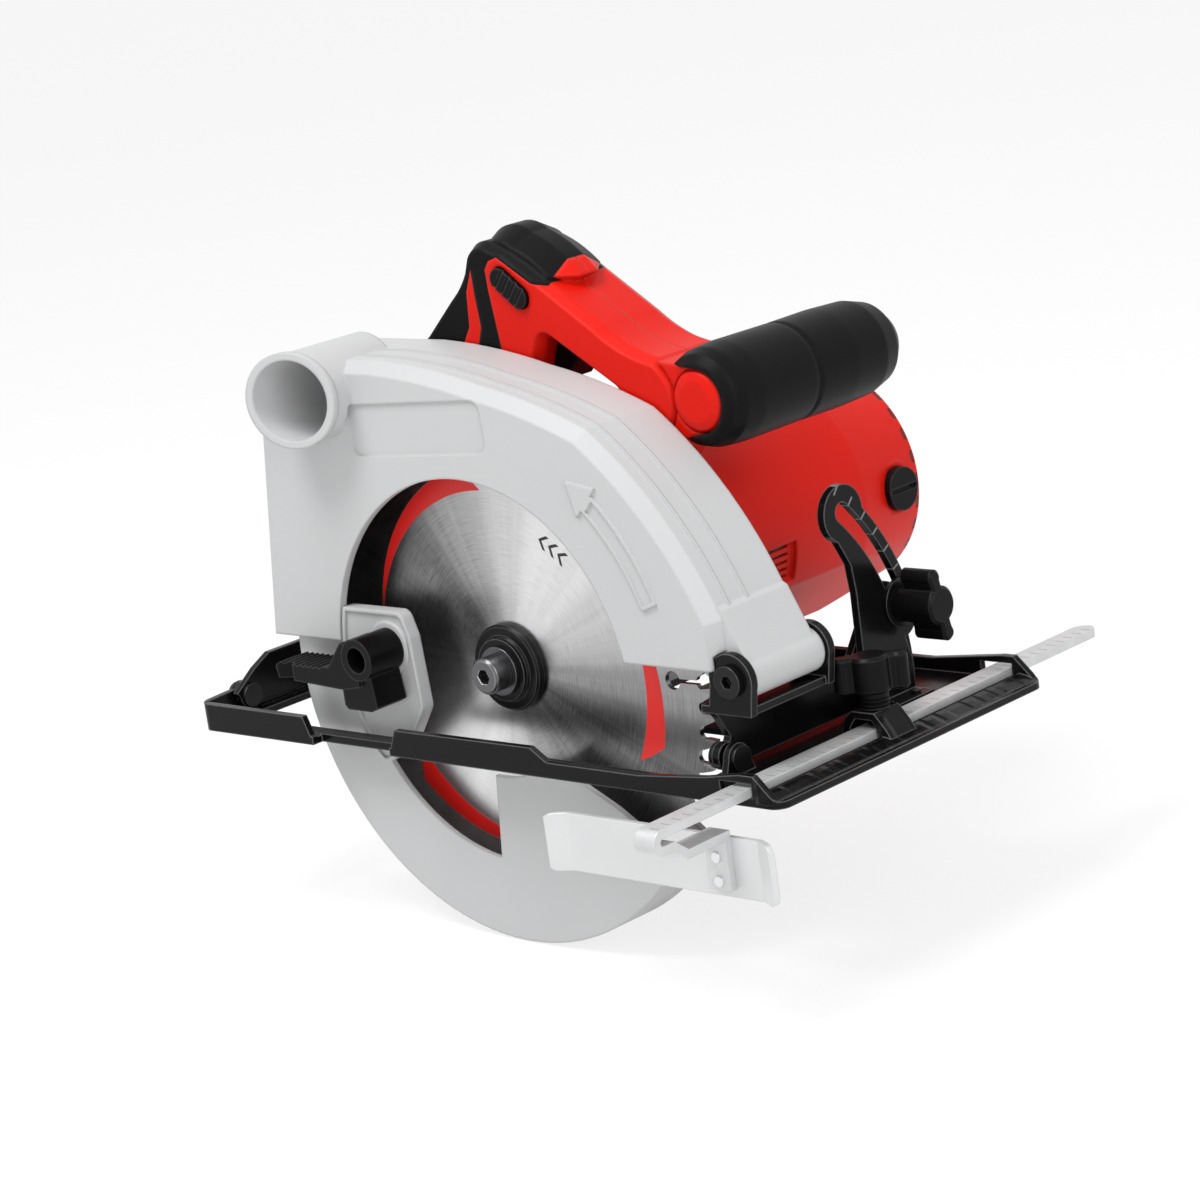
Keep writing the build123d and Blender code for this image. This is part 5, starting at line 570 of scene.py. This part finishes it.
# The wing screw's stem carries a moulded thread.
STEM_LENGTH = 9.5
THREAD_PITCH, THREAD_WIDTH, THREAD_SOFT, THREAD_DEPTH = 1.5, 0.6, 0.4, 0.5
threaded = hard_nylon("threaded_nylon")
tree = threaded.node_tree
z = millimetres(tree)["Z"]
stem_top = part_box("wing_screw")[0][2] * 1000 + STEM_LENGTH
stem = maths(tree, "LESS_THAN", z, stem_top)
thread = both(tree, stem, every(tree, z, THREAD_PITCH, THREAD_WIDTH, THREAD_SOFT))
raised(threaded, thread, THREAD_DEPTH)
dress(["wing_screw"], threaded)

# ---- Floor, light and camera ----
# A pale floor under soft studio light, seen from the blade's side.
VIEW_TURN = 45.195
VIEW_LIFT = 13.646
VIEW_ROLL = 8.160
VIEW_DISTANCE = 1.1995
VIEW_TARGET = Vector((0.01982, 0.02596, 0.04543))
LENS_MM = 104.98
turn, lift, roll = (math.radians(a) for a in (VIEW_TURN, VIEW_LIFT, VIEW_ROLL))
ahead = Vector((-math.sin(turn) * math.cos(lift), math.cos(turn) * math.cos(lift), -math.sin(lift)))
level = Vector((math.cos(turn), math.sin(turn), 0))
above = level.cross(ahead)
right = level * math.cos(roll) - above * math.sin(roll)
up = level * math.sin(roll) + above * math.cos(roll)
camera_data = bpy.data.cameras.new("camera")
camera_data.lens = LENS_MM
camera_data.sensor_width = 36
camera = bpy.data.objects.new("camera", camera_data)
bpy.context.scene.collection.objects.link(camera)
spot = VIEW_TARGET - ahead * VIEW_DISTANCE
camera.matrix_world = Matrix.Translation(spot) @ Matrix((right, up, -ahead)).transposed().to_4x4()
bpy.context.scene.camera = camera


def seen_directly(tree):
    """1 for a ray from the camera, a mirror or glass, and 0 for one that carries light round."""
    rays = tree.nodes.new("ShaderNodeLightPath")
    mirrored = maths(tree, "MAXIMUM", rays.outputs["Is Glossy Ray"],
                     rays.outputs["Is Transmission Ray"])
    return maths(tree, "MAXIMUM", rays.outputs["Is Camera Ray"], mirrored)


FLOOR_SIZE, FLOOR_GAP = 12, 0.0005
LIT_FLOOR, SEEN_FLOOR, SEEN_GLOW = (0.90, 0.90, 0.90, 1), (0.22, 0.22, 0.22, 1), 0.80
bpy.ops.object.select_all(action="DESELECT")
bpy.ops.mesh.primitive_plane_add(size=FLOOR_SIZE, location=(0, 0, cad_box[0][2] - FLOOR_GAP))
floor = bpy.context.active_object
floor.name = "floor"
pale = bpy.data.materials.new("pale_floor")
pale.use_nodes = True
tree = pale.node_tree
tree.nodes.remove(tree.nodes["Principled BSDF"])
lit = tree.nodes.new("ShaderNodeBsdfDiffuse")
lit.inputs["Color"].default_value = LIT_FLOOR
dim = tree.nodes.new("ShaderNodeBsdfDiffuse")
dim.inputs["Color"].default_value = SEEN_FLOOR
glow = tree.nodes.new("ShaderNodeEmission")
glow.inputs["Strength"].default_value = SEEN_GLOW
pair = tree.nodes.new("ShaderNodeAddShader")
tree.links.new(dim.outputs["BSDF"], pair.inputs[0])
tree.links.new(glow.outputs["Emission"], pair.inputs[1])
pick = tree.nodes.new("ShaderNodeMixShader")
tree.links.new(seen_directly(tree), pick.inputs["Fac"])
tree.links.new(lit.outputs["BSDF"], pick.inputs[1])
tree.links.new(pair.outputs["Shader"], pick.inputs[2])
tree.links.new(pick.outputs["Shader"], tree.nodes["Material Output"].inputs["Surface"])
floor.data.materials.append(pale)

WORLD_LIGHT, WORLD_SEEN_MORE = 0.55, 0.45
world = bpy.data.worlds.new("studio")
bpy.context.scene.world = world
world.use_nodes = True
tree = world.node_tree
background = tree.nodes["Background"]
background.inputs["Color"].default_value = (1, 1, 1, 1)
strength = maths(tree, "MULTIPLY_ADD", seen_directly(tree), WORLD_SEEN_MORE, WORLD_LIGHT)
tree.links.new(strength, background.inputs["Strength"])


def soft_lamp(name, place, size, power):
    """A square lamp, in metres and watts, that shines at the middle of the saw."""
    lamp = bpy.data.lights.new(name, "AREA")
    lamp.size = size
    lamp.energy = power
    holder = bpy.data.objects.new(name, lamp)
    bpy.context.scene.collection.objects.link(holder)
    holder.location = place
    holder.rotation_euler = (VIEW_TARGET - Vector(place)).to_track_quat("-Z", "Y").to_euler()


soft_lamp("key", (-0.2, -0.75, 1.75), 0.8, 25)
soft_lamp("fill", (1.4, -0.5, 0.8), 1.0, 9)
bpy.context.scene.view_settings.view_transform = "Standard"
